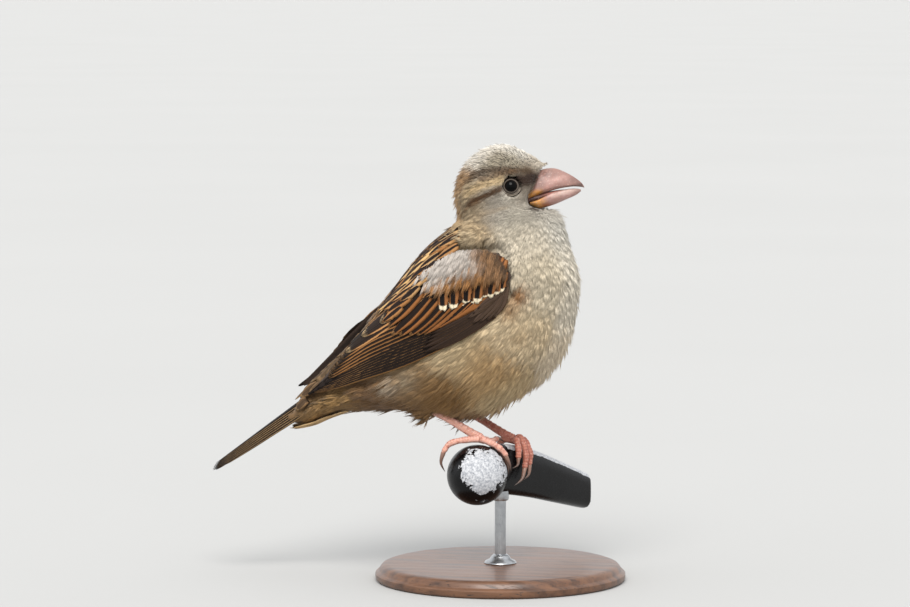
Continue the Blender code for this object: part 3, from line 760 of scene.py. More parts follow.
def tuftMesh(name, kind, seed):
    look = tuftKinds[kind]
    draw = np.random.default_rng(seed)
    points, faces, places = [], [], []
    for i in range(look["strands"]):
        side = (i + 0.5 + draw.uniform(-0.3, 0.3)) / look["strands"] * 2 - 1
        reach = 1 - look["round"] * side * side - draw.uniform(0, look["ragged"])
        half = 0.5 / look["strands"] * look["sliver"]
        bow = look["bow"] * draw.uniform(0.7, 1.3)
        level = (i % 2) * 0.018
        wander = draw.uniform(-0.06, 0.06)
        waist = side * look["waist"]
        k = len(points)
        points += [
            (side * 0.08, 0.0, 0.0),
            (waist - half, 0.5 * reach, bow + level - 0.01),
            (waist + half, 0.5 * reach, bow + level - 0.01),
            (side * 0.40 + wander, reach, bow * 0.45 + level),
            (waist, 0.52 * reach, bow + level + 0.022),
        ]
        faces += [(k, k + 2, k + 4), (k + 2, k + 3, k + 4), (k + 3, k + 1, k + 4), (k + 1, k, k + 4),
                  (k, k + 1, k + 3, k + 2)]
        chance = draw.uniform()
        places += [(side, share * reach, chance) for share in (0, 0.5, 0.5, 1, 0.5)]
    mesh = meshFrom(name, points, faces)
    setFields(mesh, plumeAt=places, patchAt=np.array(points) * (1, 1, 0) + (0.5, 0, 0))
    return newObject(name, mesh)


def named(tree, name, kind="FLOAT_VECTOR"):
    return wired(tree, "GeometryNodeInputNamedAttribute", {"Name": name}, data_type=kind)


def stored(geometry, name, value, kind="FLOAT_VECTOR", domain="POINT"):
    inputs = {"Geometry": geometry, "Name": name, "Value": value}
    return wired(geometry.tree, "GeometryNodeStoreNamedAttribute", inputs, data_type=kind, domain=domain)


def randomValue(low, high, seed, kind="FLOAT"):
    made = addNode(seed.tree, "FunctionNodeRandomValue", {"Seed": seed}, data_type=kind)
    live = [socket for socket in made.inputs if socket.enabled]
    for socket, value in zip(live, (low, high)):
        socket.default_value = (value,) * 3 if kind == "FLOAT_VECTOR" else value
    return Wire([socket for socket in made.outputs if socket.enabled][0])


coatInputs = ("Geometry", "Spacing", "Length", "Breadth", "Rise", "Turn", "Ruffle", "Depth", "Seed")
patchSize = 0.003  # of each tuft on the baking map


def coatTree(kind, tufts):  # tufts are the prototype objects
    tree = bpy.data.node_groups.new(kind + "Coat", "GeometryNodeTree")
    for name in coatInputs:
        sort = {"Geometry": "Geometry", "Seed": "Int"}.get(name, "Float")
        tree.interface.new_socket(name, in_out="INPUT", socket_type="NodeSocket" + sort)
    tree.interface.new_socket("Geometry", in_out="OUTPUT", socket_type="NodeSocketGeometry")
    entry = addNode(tree, "NodeGroupInput")
    given = {name: Wire(entry.outputs[name]) for name in coatInputs}
    spacing, seed = given["Spacing"], given["Seed"]
    scatter = {"Mesh": given["Geometry"], "Distance Min": spacing, "Seed": seed,
               "Density Max": maths("DIVIDE", 3.0, spacing * spacing),
               "Density Factor": named(tree, "amount", "FLOAT")}
    points = wired(tree, "GeometryNodeDistributePointsOnFaces", scatter, "Points",
                   distribute_method="POISSON", use_legacy_normal=False)
    points = stored(points, "rootPlace", named(tree, "OFBake"))
    points = stored(points, "luck", randomValue(0.0, 1.0, seed, "FLOAT_VECTOR"))
    length, breadth, rise = parted(named(tree, "tuftSize"))
    up = named(tree, "outward")
    angle = maths("RADIANS", rise * given["Rise"] + given["Turn"])
    shake = randomValue(-1.0, 1.0, seed + 3.0, "FLOAT_VECTOR") * given["Ruffle"]
    way = named(tree, "lie") * maths("COSINE", angle) + up * maths("SINE", angle) + shake
    turn = wired(tree, "FunctionNodeAxesToRotation", {0: way, 1: up}, primary_axis="Y", secondary_axis="Z")
    long = length * given["Length"] * (randomValue(0.8, 1.22, seed + 5.0) * mm)
    size = together(breadth * given["Breadth"] * mm, long, long * given["Depth"])
    several = addNode(tree, "GeometryNodeJoinGeometry")
    for tuft in reversed(tufts):
        source = wired(tree, "GeometryNodeObjectInfo", {"Object": tuft, "As Instance": True}, "Geometry")
        tree.links.new(source.socket, several.inputs[0])
    planting = {"Points": points, "Instance": Wire(several.outputs[0]), "Pick Instance": True,
                "Instance Index": randomValue(0, len(tufts) - 1, seed, "INT"), "Rotation": turn,
                "Scale": size}
    planted = wired(tree, "GeometryNodeInstanceOnPoints", planting)
    real = wired(tree, "GeometryNodeRealizeInstances", {0: planted})
    corner = named(tree, "rootPlace") + named(tree, "patchAt") * patchSize
    real = stored(real, "OFBake", corner - (patchSize / 2, patchSize / 2, 0.0), "FLOAT2", "CORNER")
    for spare in ("rootPlace", "patchAt", "lie", "tuftSize", "amount"):
        real = wired(tree, "GeometryNodeRemoveAttribute", {"Geometry": real, "Name": spare})
    painted = wired(tree, "GeometryNodeSetMaterial", {"Geometry": real, "Material": plumage})
    addNode(tree, "NodeGroupOutput", {0: painted})
    return tree


coatTrees = {}
for kind in tuftKinds:
    coatTrees[kind] = coatTree(kind, [tuftMesh(f"{kind}Tuft{i}", kind, 20 + i) for i in range(3)])
softness = 0.45  # how far the tufts' shading turns towards the body's own


def growCoat(name, kind, amount, settings, sheet=None, slot="body_feather"):
    base = newObject(name, (sheet or skin.data).copy())
    setFields(base.data, amount=amount)
    grower = base.modifiers.new("coat", "NODES")
    grower.node_group = coatTrees[kind]
    for item in coatTrees[kind].interface.items_tree:
        if item.in_out == "INPUT" and item.name in settings:
            grower[item.identifier] = settings[item.name]
    made = frozen(base, name)
    made.data.shade_smooth()
    outward = made.data.attributes["outward"]
    normals = readVectors(made.data.vertex_normals) * (1 - softness) + readVectors(outward.data) * softness
    made.data.attributes.remove(outward)
    made.data.normals_split_custom_set_from_vertices(normals / np.linalg.norm(normals, axis=1)[:, None])
    print(name, sum(len(p.vertices) - 2 for p in made.data.polygons), "triangles")
    return ridge(made, slot)


# spacing is in millimetres and turn in degrees; length, breadth and rise multiply what the skin says
def coatLook(spacing, length, breadth, rise, ruffle, seed, turn=0.0, depth=1.0):
    return {"Spacing": spacing * mm, "Length": length, "Breadth": breadth, "Rise": rise, "Turn": turn,
            "Ruffle": ruffle, "Depth": depth, "Seed": seed}


headTop = fade(skinLocal[:, 2] - 0.12 * skinLocal[:, 0], 1.4, 2.6)
napeShare = fade(-skinLocal[:, 0], 8.0, 10.5)
crownShare = onHead * np.maximum(headTop, napeShare)
faceShare = onHead * (1 - 0.75 * headTop)
backShare = (1 - onHead) * fade(skinNormals[:, 2] - 0.5 * (skinPoints[:, 0] > -8), 0.2, 0.5)
lowShare = (1 - onHead) * (1 - backShare) * fade(24 - skinPoints[:, 2] + 0.35 * skinPoints[:, 0], -2, 5)
frontShare = np.clip(1 - onHead - backShare - lowShare, 0, 1)
tailEnd = fade(-skinPoints[:, 0] + 0.25 * (skinPoints[:, 2] - 8), 57.0, 61.0)
shown = (1 - hidden) * (1 - tailEnd)
downward = fade(-skinNormals[:, 2], 0.05, 0.45) * fade(skinPoints[:, 0], -20, -12)
frontal = 0.2 + 0.8 * fade(skinPoints[:, 0], 10, 19)
sidedLocal = folded(skinLocal, 1)
foreLine = [(14.2, 0, 2.4), (12.6, 0, 4.4)]
billRim = [(15.8, 0, 2.2), (13.6, 2.6, 1.0), (11.4, 4.0, -1.6), (9.6, 4.6, -4.4), (8.6, 4.6, -6.4)]
chinLine = [(14.0, 0, -10.8), (10.0, 0, -11.6), (7.5, 3.0, -11.0)]
bristles = fade(-lineGap(sidedLocal, billRim), -1.9, -1.1) * fade(-skinLocal[:, 0], -14.5, -13.5)
ruffGap = np.linalg.norm((folded(skinPoints, -1) - (-6.5, -13.0, 62.0)) * (0.8, 0.8, 1.3), axis=1)
coats = (
    ("face", "hair", np.minimum(faceShare * 1.6, 1), coatLook(0.49, 1.1, 1.15, 0.6, 0.12, 3, depth=0.6)),
    ("crown", "feather", crownShare, coatLook(0.62, 1.1, 1.2, 1.8, 0.16, 5)),
    ("bristles", "hair", bristles, coatLook(0.42, 1.0, 1.0, -1.0, 0.12, 4, 160.0)),
    ("forelock", "hair", fade(-lineGap(sidedLocal, foreLine), -2.4, -1.4),
     coatLook(0.42, 0.95, 1.2, 0.0, 0.05, 6, 184.0)),
    ("breast", "feather", np.minimum(frontShare * 1.6, 1), coatLook(1.15, 1.0, 1.2, 0.5, 0.07, 8, depth=0.5)),
    ("breast_down", "hair", frontShare, coatLook(0.88, 0.98, 0.95, 0.62, 0.10, 7, depth=0.5)),
    ("breast_scales", "scale", frontShare * frontal, coatLook(2.1, 1.15, 1.5, 0.7, 0.08, 9, depth=0.5)),
    ("belly", "hair", lowShare, coatLook(0.64, 0.95, 0.95, 0.7, 0.12, 11, depth=0.6)),
    ("belly_locks", "hair", lowShare, coatLook(1.7, 1.05, 1.6, 1.0, 0.14, 12, depth=0.6)),
    ("hanging", "hair", downward * (1 - onHead), coatLook(1.6, 0.85, 0.9, 1.7, 0.16, 13)),
    ("ruff", "fluff", np.exp(-((ruffGap / 5.0) ** 2)), coatLook(1.0, 0.95, 1.6, 2.0, 0.30, 16)),
    ("beard", "hair", fade(-lineGap(sidedLocal, chinLine), -3.2, -2.0),
     coatLook(0.6, 1.25, 1.1, 1.3, 0.12, 17)),
    ("back", "feather", backShare, coatLook(1.15, 1.0, 1.0, 1.0, 0.10, 14)),
)
for name, kind, amount, settings in coats:
    growCoat("coat_" + name, kind, amount * shown, settings)
skin.data.materials.clear()
skin.data.materials.append(featherBed)

# vanes: closed lens-shaped feathers laid in rows


def newBatch(cells):  # cells is how many feathers stand in a row of the baking map
    return {"points": [], "faces": [], "cells": cells, "count": 0, "draw": np.random.default_rng(cells)}


# spot gives a place from a share along, millimetres across and a lift; breadth is lower and upper
def addVane(batch, spot, length, breadth, look, flip=False):
    draw = batch["draw"]
    rows, columns = look.get("rows", 9), look.get("columns", 5)
    seed = draw.uniform(0, 100)
    cells = batch["cells"]
    cell = np.array((batch["count"] % cells, batch["count"] // cells)) / cells
    batch["count"] += 1
    fray, thick = look.get("fray", 0.12), look.get("thick", 0.14)
    hue = draw.uniform(0.88, 1.12)
    colours = [look[field] * hue for field in ("core", "edge", "tipTone")]
    index = {}
    for side in (1, -1):
        for i in range(rows):
            along = i / (rows - 1)
            swell = look["root"] + (1 - look["root"]) * math.sin(min(along / 0.45, 1) * math.pi / 2)
            taper = max(along - look["from"], 0) / (1 - look["from"])
            swell *= 1 - (1 - look["tip"]) * taper ** look.get("power", 2.2)
            for j in range(columns):
                u = 2 * j / (columns - 1) - 1
                border = i in (0, rows - 1) or j in (0, columns - 1)
                if side < 0 and border:
                    index[(side, i, j)] = index[(1, i, j)]
                    continue
                wide = u * breadth[0] if u < 0 else u * breadth[1]
                wide *= swell
                share = along * (1 - look["round"] * u * u * sum(breadth) / length / 2)
                if border and i > rows * 0.4:
                    share += draw.uniform(-fray, 0.3 * fray) / length
                    wide += draw.uniform(-fray, fray) * 0.5 * (j in (0, columns - 1))
                lens = 0 if border else side * thick * (1 - u * u) * (1 - along**4)
                lift = look["lift"] - look["tilt"] * u / 2 + look["rise"] * along
                lift += look.get("camber", 0.15) * (1 - u * u) + lens
                index[(side, i, j)] = len(batch["points"])
                patch = cell + np.array(((u + 1) / 2, along)) * 0.94 / cells + 0.02 / cells
                batch["points"].append((spot(share, wide, lift), *colours, (u, along, seed),
                                        (wide, share * length, 0), look["pattern"], patch))
    for side in (1, -1):
        for i in range(rows - 1):
            for j in range(columns - 1):
                corner = [index[(side, i + a, j + b)] for a, b in ((0, 0), (0, 1), (1, 1), (1, 0))]
                batch["faces"].append(corner if (side > 0) != flip else corner[::-1])


def vanePiece(name, batch, *replaced):
    places, core, edge, tipTone, vaneAt, vaneSize, pattern, patch = zip(*batch["points"])
    mesh = meshFrom(name, [at(*p) for p in places], batch["faces"])
    core, edge, tipTone = (np.clip(colours, 0, 1) for colours in (core, edge, tipTone))
    setFields(mesh, core=core, edge=edge, tipTone=tipTone, vaneAt=vaneAt, vaneSize=vaneSize, pattern=pattern)
    setPatches(mesh, patch)
    piece = newObject(name, mesh, vanes)
    print(name, batch["count"], "feathers", sum(len(f) - 2 for f in batch["faces"]), "triangles")
    return ridge(piece, "wing_feather", *replaced)


def wingSpot(path, left):  # lays a feather along a path of the wing's side view
    length, place = measured(smoothRows(path, 6))

    def spot(share, wide, lift):
        where = min(max(share, 0), 1) * length
        way = place(where + 0.4) - place(where - 0.4)
        way = way / max(np.linalg.norm(way), 1e-6)
        along, across = place(where) + np.array((-way[1], way[0])) * wide
        point = onWing(along, across, lift)
        return toLeftWing(point, along) if left else point

    return spot, length


def tone(core, edge, tip):
    return {"core": paint(core), "edge": paint(edge), "tipTone": paint(tip)}


# root and tip are shares of the breadth; pattern is where the lower edge, upper edge and tip colours begin
flight = {"root": 0.7, "tip": 0.25, "from": 0.72, "round": 0.9, "tilt": 0.30, "rise": 0.1, "fray": 0.06}
covert = {"root": 0.75, "tip": 0.42, "from": 0.45, "round": 0.8, "tilt": 0.42, "rise": 0.25, "fray": 0.2}
scale = {"root": 0.7, "tip": 0.45, "from": 0.35, "round": 0.7, "tilt": 0.3, "rise": 0.35, "fray": 0.2}
wingSets = {
    "primaries": dict(flight, **tone("1e1612", "8f6a41", "33281f"), pattern=(0.66, 2.0, 1.4), lift=0.35,
                      rows=15),
    "secondaries": dict(flight, **tone("20160f", "8f6339", "8f6c48"), pattern=(0.52, 2.0, 0.985), lift=0.75,
                        tip=0.5, rows=13),
    "tertials": dict(flight, **tone("221812", "a5774a", "c2a47c"), pattern=(0.55, 0.82, 0.97), lift=1.0,
                     tip=0.5, rows=12, columns=7, camber=0.3),
    "greater": dict(covert, **tone("1a110c", "84542d", "a0754a"), lift=1.0, rows=11),
    "primaryCoverts": dict(covert, **tone("33261e", "5d4632", "43342a"), pattern=(0.72, 2.0, 1.4), lift=0.75,
                           tilt=0.3, tip=0.3),
    "alula": dict(covert, **tone("43342a", "604d3d", "4d3e33"), pattern=(0.7, 2.0, 1.4), lift=0.95, tip=0.3,
                  thick=0.1, rows=12),
    "median": dict(covert, **tone("1f1916", "80532f", "cfc1a5"), lift=1.3, fray=0.7, tip=0.72, round=0.35,
                   rows=12, columns=7),
    "lesser": dict(scale, **tone("1c1512", "8a5a34", "96673c"), lift=1.2, rows=10, camber=0.2),
}
# where each set's roots and tips run, along and across the wing from the wrist
wingLines = {
    "primaryCoverts": ([(10, -9.8), (8, -7.6), (6, -5.6)],
                       [(31, -9.2), (34.8, -7.9), (34.2, -6.4), (29.5, -4.4)]),
    "alula": ([(1.6, -2.6), (2.4, -3.6), (3.2, -4.2)],
              [(10.8, -10.2), (13.9, -9.5), (17.0, -8.2), (17.2, -6.2), (13.0, -5.2)]),
    "greater": ([(3.5, -3.4), (8, -2.4), (13, -1.2), (17, 0.6), (20, 2.6), (23.5, 5.4), (25, 8)],
                [(20.8, -3.4), (25.3, -3.5), (30.6, -3.4), (34.4, -2.3), (36.7, -1), (40.3, 1.9), (41, 4.4)]),
    "median": ([(0.4, -0.2), (2.6, 0.4), (4.4, 0.5), (7.4, 1.4), (10.4, 2.3), (13.4, 3.4), (17.0, 5.2),
                (20, 7.4)],
               [(5.2, -5.3), (7.4, -5.2), (9.8, -4.7), (12.4, -4.0), (15.4, -3.2), (18.0, -2.2), (21.0, -0.7),
                (23.4, 1.0)]),
    "lesser": ([(-1.5, 1.6), (-1.6, 4.6), (1.5, 7.9), (5.5, 10.8), (10.8, 13.0), (16.7, 13.3), (23.1, 12.6)],
               [(3.0, -1.8), (5.2, -1.2), (8.8, -0.6), (12.6, 0.6), (16.6, 2.2), (19.9, 4.4), (23.4, 7.4)]),
}
# long feathers are stacked: tips, root, breadth, rise by feather, the lowest one's line and the steps up
wingStacks = {
    "primaries": ((73, 74.5, 74.7, 73.5, 71, 68, 65, 62, 59), 24, (1.1, 3.0), 0.05,
                  ((24, 28, 44, 57, 66, 75), (-10.4, -9.8, -7.9, -4.7, -2.3, -0.3)),
                  ((24, 44, 60, 75), (0.6, 0.85, 0.55, 0.12))),
    "secondaries": ((65.9, 65.4, 63.8, 61.8, 59.5, 57), 22, (1.2, 2.6), 0.06,
                    ((24, 30, 44, 57, 66), (-4.3, -3.7, -1.1, 0.3, 0.8)),
                    ((24, 44, 57, 66), (1.15, 1.1, 0.85, 0.5))),
}
tertialPaths = (
    ([(16, 5.2), (36, 5.4), (57, 5.0)], (1.9, 2.0)),
    ([(15, 7.2), (33, 7.0), (50, 6.5)], (2.4, 2.6)),
    ([(13, 9.0), (28, 8.6), (42.4, 6.9)], (3.1, 3.0)),
)


def buildWing(name, left, *replaced):
    batch = newBatch(12)
    draw = batch["draw"]

    def lay(kind, path, breadth, extra=0.0, **changes):
        spot, length = wingSpot(path, left)
        look = dict(wingSets[kind], **changes)
        look["lift"] += extra
        addVane(batch, spot, length, breadth, look, left)

    def between(kind, share, bend, long=(0, 0)):  # a path from the roots' line to the tips', bent halfway
        root, tip = (onCurve(line, share) for line in wingLines[kind])
        tip = tip + (tip - root) * draw.uniform(*long) if any(long) else tip
        return [root, (root + tip) / 2 + bend(), tip]

    for kind, (ends, start, breadth, climb, low, step) in wingStacks.items():
        for i, end in enumerate(ends):
            path = []
            for a in start + (end - start) * np.array((0, 0.35, 0.7, 1)):
                path.append((a, np.interp(a, *low) + i * np.interp(a, *step) + 0.9 - 0.5 * (a == end)))
            lay(kind, path, breadth, climb * i)
    for i, (path, breadth) in enumerate(tertialPaths):
        lay("tertials", path, breadth, 0.14 * i)
    for i in range(7):
        lay("primaryCoverts", between("primaryCoverts", i / 6, lambda: (0, -0.5)), (0.8, 1.5), 0.05 * i)
    for i in range(7):
        lay("alula", between("alula", i / 6, lambda: (-0.6, -0.9 + 0.9 * i / 6)), (1.3, 1.5), 0.05 * i)
    for i in range(10):
        path = between("greater", i / 9, lambda: (0, draw.uniform(-0.5, 0.0)), (-0.05, 0.04))
        lay("greater", path, (1.7, 2.0), 0.05 * i,
            pattern=(draw.uniform(0.15, 0.5), draw.uniform(0.7, 0.85), 0.95))
    for i in range(12):
        share = (i + draw.uniform(-0.15, 0.15) * (0 < i < 11)) / 11
        path = between("median", share, lambda: (0, 0.2), (-0.14, 0.12))
        brown = draw.uniform(0, 0.6) if i % 2 else 0.0
        core = paint("15100e") * (1 - brown) + paint("6b4528") * brown
        breadth = draw.uniform(1.35, 1.8)
        lay("median", path, (breadth, breadth), 0.04 * i * (-1) ** i, core=core,
            pattern=(draw.uniform(0.3, 0.6), draw.uniform(0.45, 0.75), draw.uniform(0.78, 0.90)))
    for row, down in enumerate((1.0, 0.62)):
        for i in range(10):
            place = 0.07 + 0.93 * (i + 0.5 * row) / 9.5
            over, under = (onCurve(line, place) for line in wingLines["lesser"])
            way = unit(unit(under - over) + (0.35, -0.2))
            long = min(7.5, np.linalg.norm(under - over) * 0.9 + 1.5) * draw.uniform(0.85, 1.12)
            under = under + way * draw.uniform(-1.3, 0.4)
            long = min(long, np.linalg.norm(under - over) * 0.92)
            root = over + (under - way * long - over) * down
            wrist = 1 - fade(place, 0.05, 0.35)
            dark = paint("1c1512") * (1 - wrist) + paint("4d3223") * wrist
            lay("lesser", [root, root + way * long * 0.5, root + way * long], (1.75, 1.75), 0.1 * row,
                core=dark, pattern=(draw.uniform(0.25, 0.5), draw.uniform(0.3, 0.55), 0.80))
    return vanePiece(name, batch, *replaced)


shoulder = {
    "along": (-1.6, 25.0), "columns": 60, "rows": 34,
    "low": ((-1.6, 0, 2.5, 6, 10, 14, 18, 21, 25), (0.5, -1.6, -0.4, 1.1, 2.8, 4.2, 5.8, 7.6, 10.2)),
    "high": ((-1.6, 0, 1.5, 5.5, 10.8, 16.7, 24.5), (4.0, 6.6, 8.4, 11.0, 13.2, 13.8, 13.0)),
    "lift": ((-1.6, 0, 2, 5, 25), (0.6, 1.4, 1.95, 2.2, 2.1)),
    "tufts": (5.2, 1.9, 9.0),
}


def shoulderCoat(name, left, seed):  # soft feathers over the wing's shoulder, on a sheet of their own
    rows, columns = shoulder["rows"], shoulder["columns"]
    places, ways, tones, tips, streaks, inside = [], [], [], [], [], []
    place = (lambda a, c, lift: toLeftWing(onWing(a, c, lift), a)) if left else onWing
    for a in np.linspace(*shoulder["along"], columns):
        low, high = np.interp(a, *shoulder["low"]), np.interp(a, *shoulder["high"])
        lift = np.interp(a, *shoulder["lift"])
        for u in np.linspace(0, 1, rows):
            c = low + (high - low) * u
            here = place(a, c, lift)
            turn = 0.62 + 0.2 * fade(a, 4, 14)
            ways.append((place(a + 0.5 * turn, c - 0.5 * (1 - 0.45 * turn), lift) - here).normalized())
            places.append(here)
            frayed = 0.13 * math.sin(2.4 * (a + 0.75 * c)) + 0.05 * math.sin(5.3 * (a + 0.6 * c))
            satin = fade(u + 0.014 * a + frayed, 0.36, 0.74) * fade(a, 2.5, 7.0)
            wrist = fade(-a, -6.5, -3.0)
            rufous = paint("a27445") * (1 - wrist) + paint("8d6a49") * wrist
            stroke = math.sin(1.9 * (a + 0.75 * c)) * (1 - satin)
            shade = 1 - 0.55 * fade(stroke, 0.25, 0.85)
            # painted shadow: darker along the shoulder's front edge at the wrist, where it meets the breast
            rim = 1 - 0.6 * fade(-a, -0.9, 0.4) * (1 - satin)
            colour = rufous * shade * rim * (1 - satin) + paint("aca49c") * satin
            tones.append(colour)
            tips.append(colour * (1 - 0.3 * satin) + paint("a79783") * 0.28 * satin)
            streaks.append(0.45 - 0.33 * satin)
            inside.append(fade(u, 0.02, 0.12) * fade(-a - 2.5 * math.sin(1.3 * c), -23.5, -18.5))
    grid = gridFaces(columns, rows)
    grid = grid if left else [face[::-1] for face in grid]
    mesh = meshFrom(name + "_sheet", [at(*p) for p in places], grid)
    normals = readVectors(mesh.vertex_normals)
    normals *= np.sign((normals[:, 1] * readPoints(mesh)[:, 1]).mean())
    size = np.tile(shoulder["tufts"], (len(places), 1))
    setFields(mesh, tone=tones, tipTone=tips, lie=ways, outward=normals, tuftSize=size, streak=streaks)
    corner = [(a, u) for a in np.linspace(0, 1, columns) for u in np.linspace(0, 1, rows)]
    setPatches(mesh, np.array(corner) * (0.8, 0.4) + 0.1)
    growCoat(name, "feather", inside, coatLook(0.72, 1.05, 1.0, 0.7, 0.08, seed), mesh, "wing_feather")


for side, seed in (("right", 31), ("left", 32)):
    shoulderCoat("coat_shoulder_" + side, side == "left", seed)
for side in ("right", "left"):
    panels = [name for name in wingNodes if side in name]
    buildWing("feathers_wing_" + side, side == "left", *panels)


def bodySpot(root, heading, length, tree):  # lays a feather over the bird's surface
    point, normal = tree.find_nearest(Vector(root))[:2]
    way = Vector(heading).normalized()
    steps = 8
    path = []
    for _ in range(steps + 1):
        way = (way - normal * way.dot(normal)).normalized()
        path.append((point.copy(), normal.copy(), way.copy()))
        found = tree.find_nearest(point + way * length / steps)
        point, normal = found[0], (normal * 0.6 + found[1] * 0.4).normalized()

    def spot(share, wide, lift):
        reach = min(max(share, 0), 1) * steps
        near = min(int(reach), steps - 1)
        centre, up, ahead = (a.lerp(b, reach - near) for a, b in zip(path[near], path[near + 1]))
        up.normalize()
        place = centre + up.cross(ahead).normalized() * wide
        level = (tree.find_nearest(place)[0] - place).dot(up)
        return place + up * (level * 0.8 + lift)

    return spot, length


backSets = {
    "mantle": dict(scale, **tone("231a15", "9a6e42", "8f673f"), pattern=(0.42, 0.42, 0.9), lift=-0.25,
                   rise=0.45, rows=10, fray=0.4, tip=0.35),
    "scapular": dict(scale, **tone("211815", "94653a", "8c6139"), pattern=(0.5, 0.30, 0.92), lift=-0.1,
                     rise=0.4, rows=10, fray=0.45, tip=0.35),
    "brace": dict(scale, **tone("33261e", "b7925f", "a98253"), pattern=(2.0, 0.25, 0.92), lift=-0.1, rows=10),
    "rump": dict(scale, **tone("4f3f2e", "655039", "6b563e"), pattern=(0.5, 0.5, 0.75), lift=-0.3,
                 rise=0.4, rows=8),
    "upperTail": dict(scale, **tone("4b3a2a", "826546", "82694a"), pattern=(0.6, 0.6, 0.85), lift=-0.45,
                      rise=0.1, rows=9),
    "underTail": dict(scale, **tone("a58457", "c3a478", "b8966a"), pattern=(0.35, 0.35, 0.8), lift=-0.2,
                      rise=0.25, rows=11, fray=0.5, tip=0.3),
}
backShape = {
    "rows": (-58.4, -9, 2.6),
    "half": ((-62, -45, -36, -20, -9), (3.5, 5.0, 4.2, 8.0, 9.0)),
    "gap": 3.3,
    "lengths": {"mantle": 7.4, "rump": 7.6, "upperTail": 6.6},
    "shoulder": ((12.6, "scapular"), (14.6, "scapular"), (16.4, "brace"), (18.0, "scapular")),
    "under": (-46, -57.5, -2.6),
}


def buildBack():
    batch = newBatch(16)
    draw = batch["draw"]

    def lay(kind, root, heading, length, breadth, extra=0.0):
        onTop = kind in ("mantle", "scapular", "brace")
        heading = Vector(heading) + Vector([draw.uniform(-spread, spread) for spread in (0.07, 0.06, 0.07)])
        tree = wholeTree if onTop else bodyTree
        spot, reach = bodySpot(root, heading, length * draw.uniform(0.88, 1.12), tree)
        look = dict(backSets[kind])
        look["lift"] += extra
        if onTop:  # uneven light and dark edges
            buff = draw.uniform(0, 1) ** 1.5 * 0.75
            look["edge"] = look["edge"] * (1 - buff) + paint("c9a878") * buff
            outer, inner, tip = look["pattern"]
            look["pattern"] = (outer * draw.uniform(0.6, 1.5), inner * draw.uniform(0.6, 1.6), tip)
        addVane(batch, spot, reach, (breadth, breadth), look)

    for k, x in enumerate(np.arange(*backShape["rows"])):
        kind = "upperTail" if x < -54 else ("rump" if x < -36 else "mantle")
        gap = backShape["gap"]
        count = 2 + int(np.interp(x, *backShape["half"]) * 2 / gap)
        for i in range(count):
            y = (i - (count - 1) / 2) * gap + 1.1 * (k % 2) - 0.55
            tree = wholeTree if kind == "mantle" else bodyTree
            root = tree.ray_cast(Vector((x, y, 120)), Vector((0, 0, -1)))[0]
            if root is not None:
                lay(kind, root, (-0.8, y * 0.018, -0.6), backShape["lengths"][kind], 1.75, -0.02 * abs(y))
    for side in (-1, 1):
        for row, (across, kind) in enumerate(backShape["shoulder"]):
            for i in range(7):
                along = 33 - 4.0 * i - 1.5 * (row % 2)
                if side > 0 and along > 24:
                    continue
                point = onWing(along, across - 0.34 * 0.75 * max(along - 10, 0) + 0.8, 2.0)
                if side > 0:
                    point = toLeftWing(point, along)
                lay(kind, point, (-0.84, side * -0.12, -0.56), 8.6 if row else 9.4, 1.9, 0.15 + 0.05 * row)
    for k, x in enumerate(np.arange(*backShape["under"])):
        for i in range(4):
            y = (i - 1.5) * 2.6 + 0.9 * (k % 2)
            root = bodyTree.ray_cast(Vector((x, y, -40)), Vector((0, 0, 1)))[0]
            if root is not None:
                lay("underTail", root, (-0.84, y * 0.01, -0.5), 9.0, 1.5)
    return vanePiece("feathers_back", batch)


buildBack()

tailShape = {"start": (-56.0, 0.0, 14.6), "tip": (-90.2, 0.0, -11.0), "half": (4.4, 7.0), "drop": (3.4, 1.2),
             "feathers": 12, "breadth": 2.1}
tailLook = dict(flight, **tone("1b1512", "a3835a", "3d3026"), pattern=(0.87, 0.87, 1.4), tip=0.5, rows=13,
                tilt=0.0, camber=0.12, rise=0.0, thick=0.12)


def buildTail():
    batch = newBatch(4)
    start, tip = Vector(tailShape["start"]), Vector(tailShape["tip"])
    (narrow, wide), (high, low) = tailShape["half"], tailShape["drop"]
    reach = tip - start
    down = Vector((-reach.z, 0, reach.x)).normalized()
    middle = (tailShape["feathers"] - 1) / 2

    def tailSpot(share, begin, end):
        def spot(along, across, lift):
            place = begin + (end - begin) * along
            half = narrow + (wide - narrow) * math.sin(min(max(place, 0), 1) * math.pi / 2)
            y = share * half * 0.74 + across
            sag = down * ((high + (low - high) * place) * min(abs(y / half), 1.1) ** 1.4 - lift)
            return start + reach * place + sag + Vector((0, y, 0))

        return spot

    for k in sorted(range(tailShape["feathers"]), key=lambda k: -abs(k - middle)):
        share = (k - middle) / middle
        end = 1 - (2.2 * (1 - abs(share)) + 2.2 * abs(share) ** 5) / reach.length
        look = dict(tailLook, lift=-0.7 + 1.1 * (1 - abs(share)))
        addVane(batch, tailSpot(share, -0.12, end), reach.length, (tailShape["breadth"],) * 2, look)
    return vanePiece("feathers_tail", batch, "tail")


buildTail()

# bill, mouth and eyes


def ovalRing(count, squareness):
    turns = np.arange(count) * 2 * math.pi / count
    c, s = np.cos(turns), np.sin(turns)
    power = 2 / squareness
    return np.sign(c) * np.abs(c) ** power, np.sign(s) * np.abs(s) ** power


def closedRings(rings):  # faces round a row of rings, with a fan at each end
    count, total = len(rings[0]), len(rings)
    points = np.vstack([np.array(rings).reshape(-1, 3), np.mean(rings[0], 0), np.mean(rings[-1], 0)])
    around = [(j, (j + 1) % count) for j in range(count)]
    faces = [(i * count + j, i * count + k, (i + 1) * count + k, (i + 1) * count + j)
             for i in range(total - 1) for j, k in around]
    first, last = total * count, (total - 1) * count
    for j, k in around:
        faces += [(first, k, j), (first + 1, last + j, last + k)]
    return points, faces


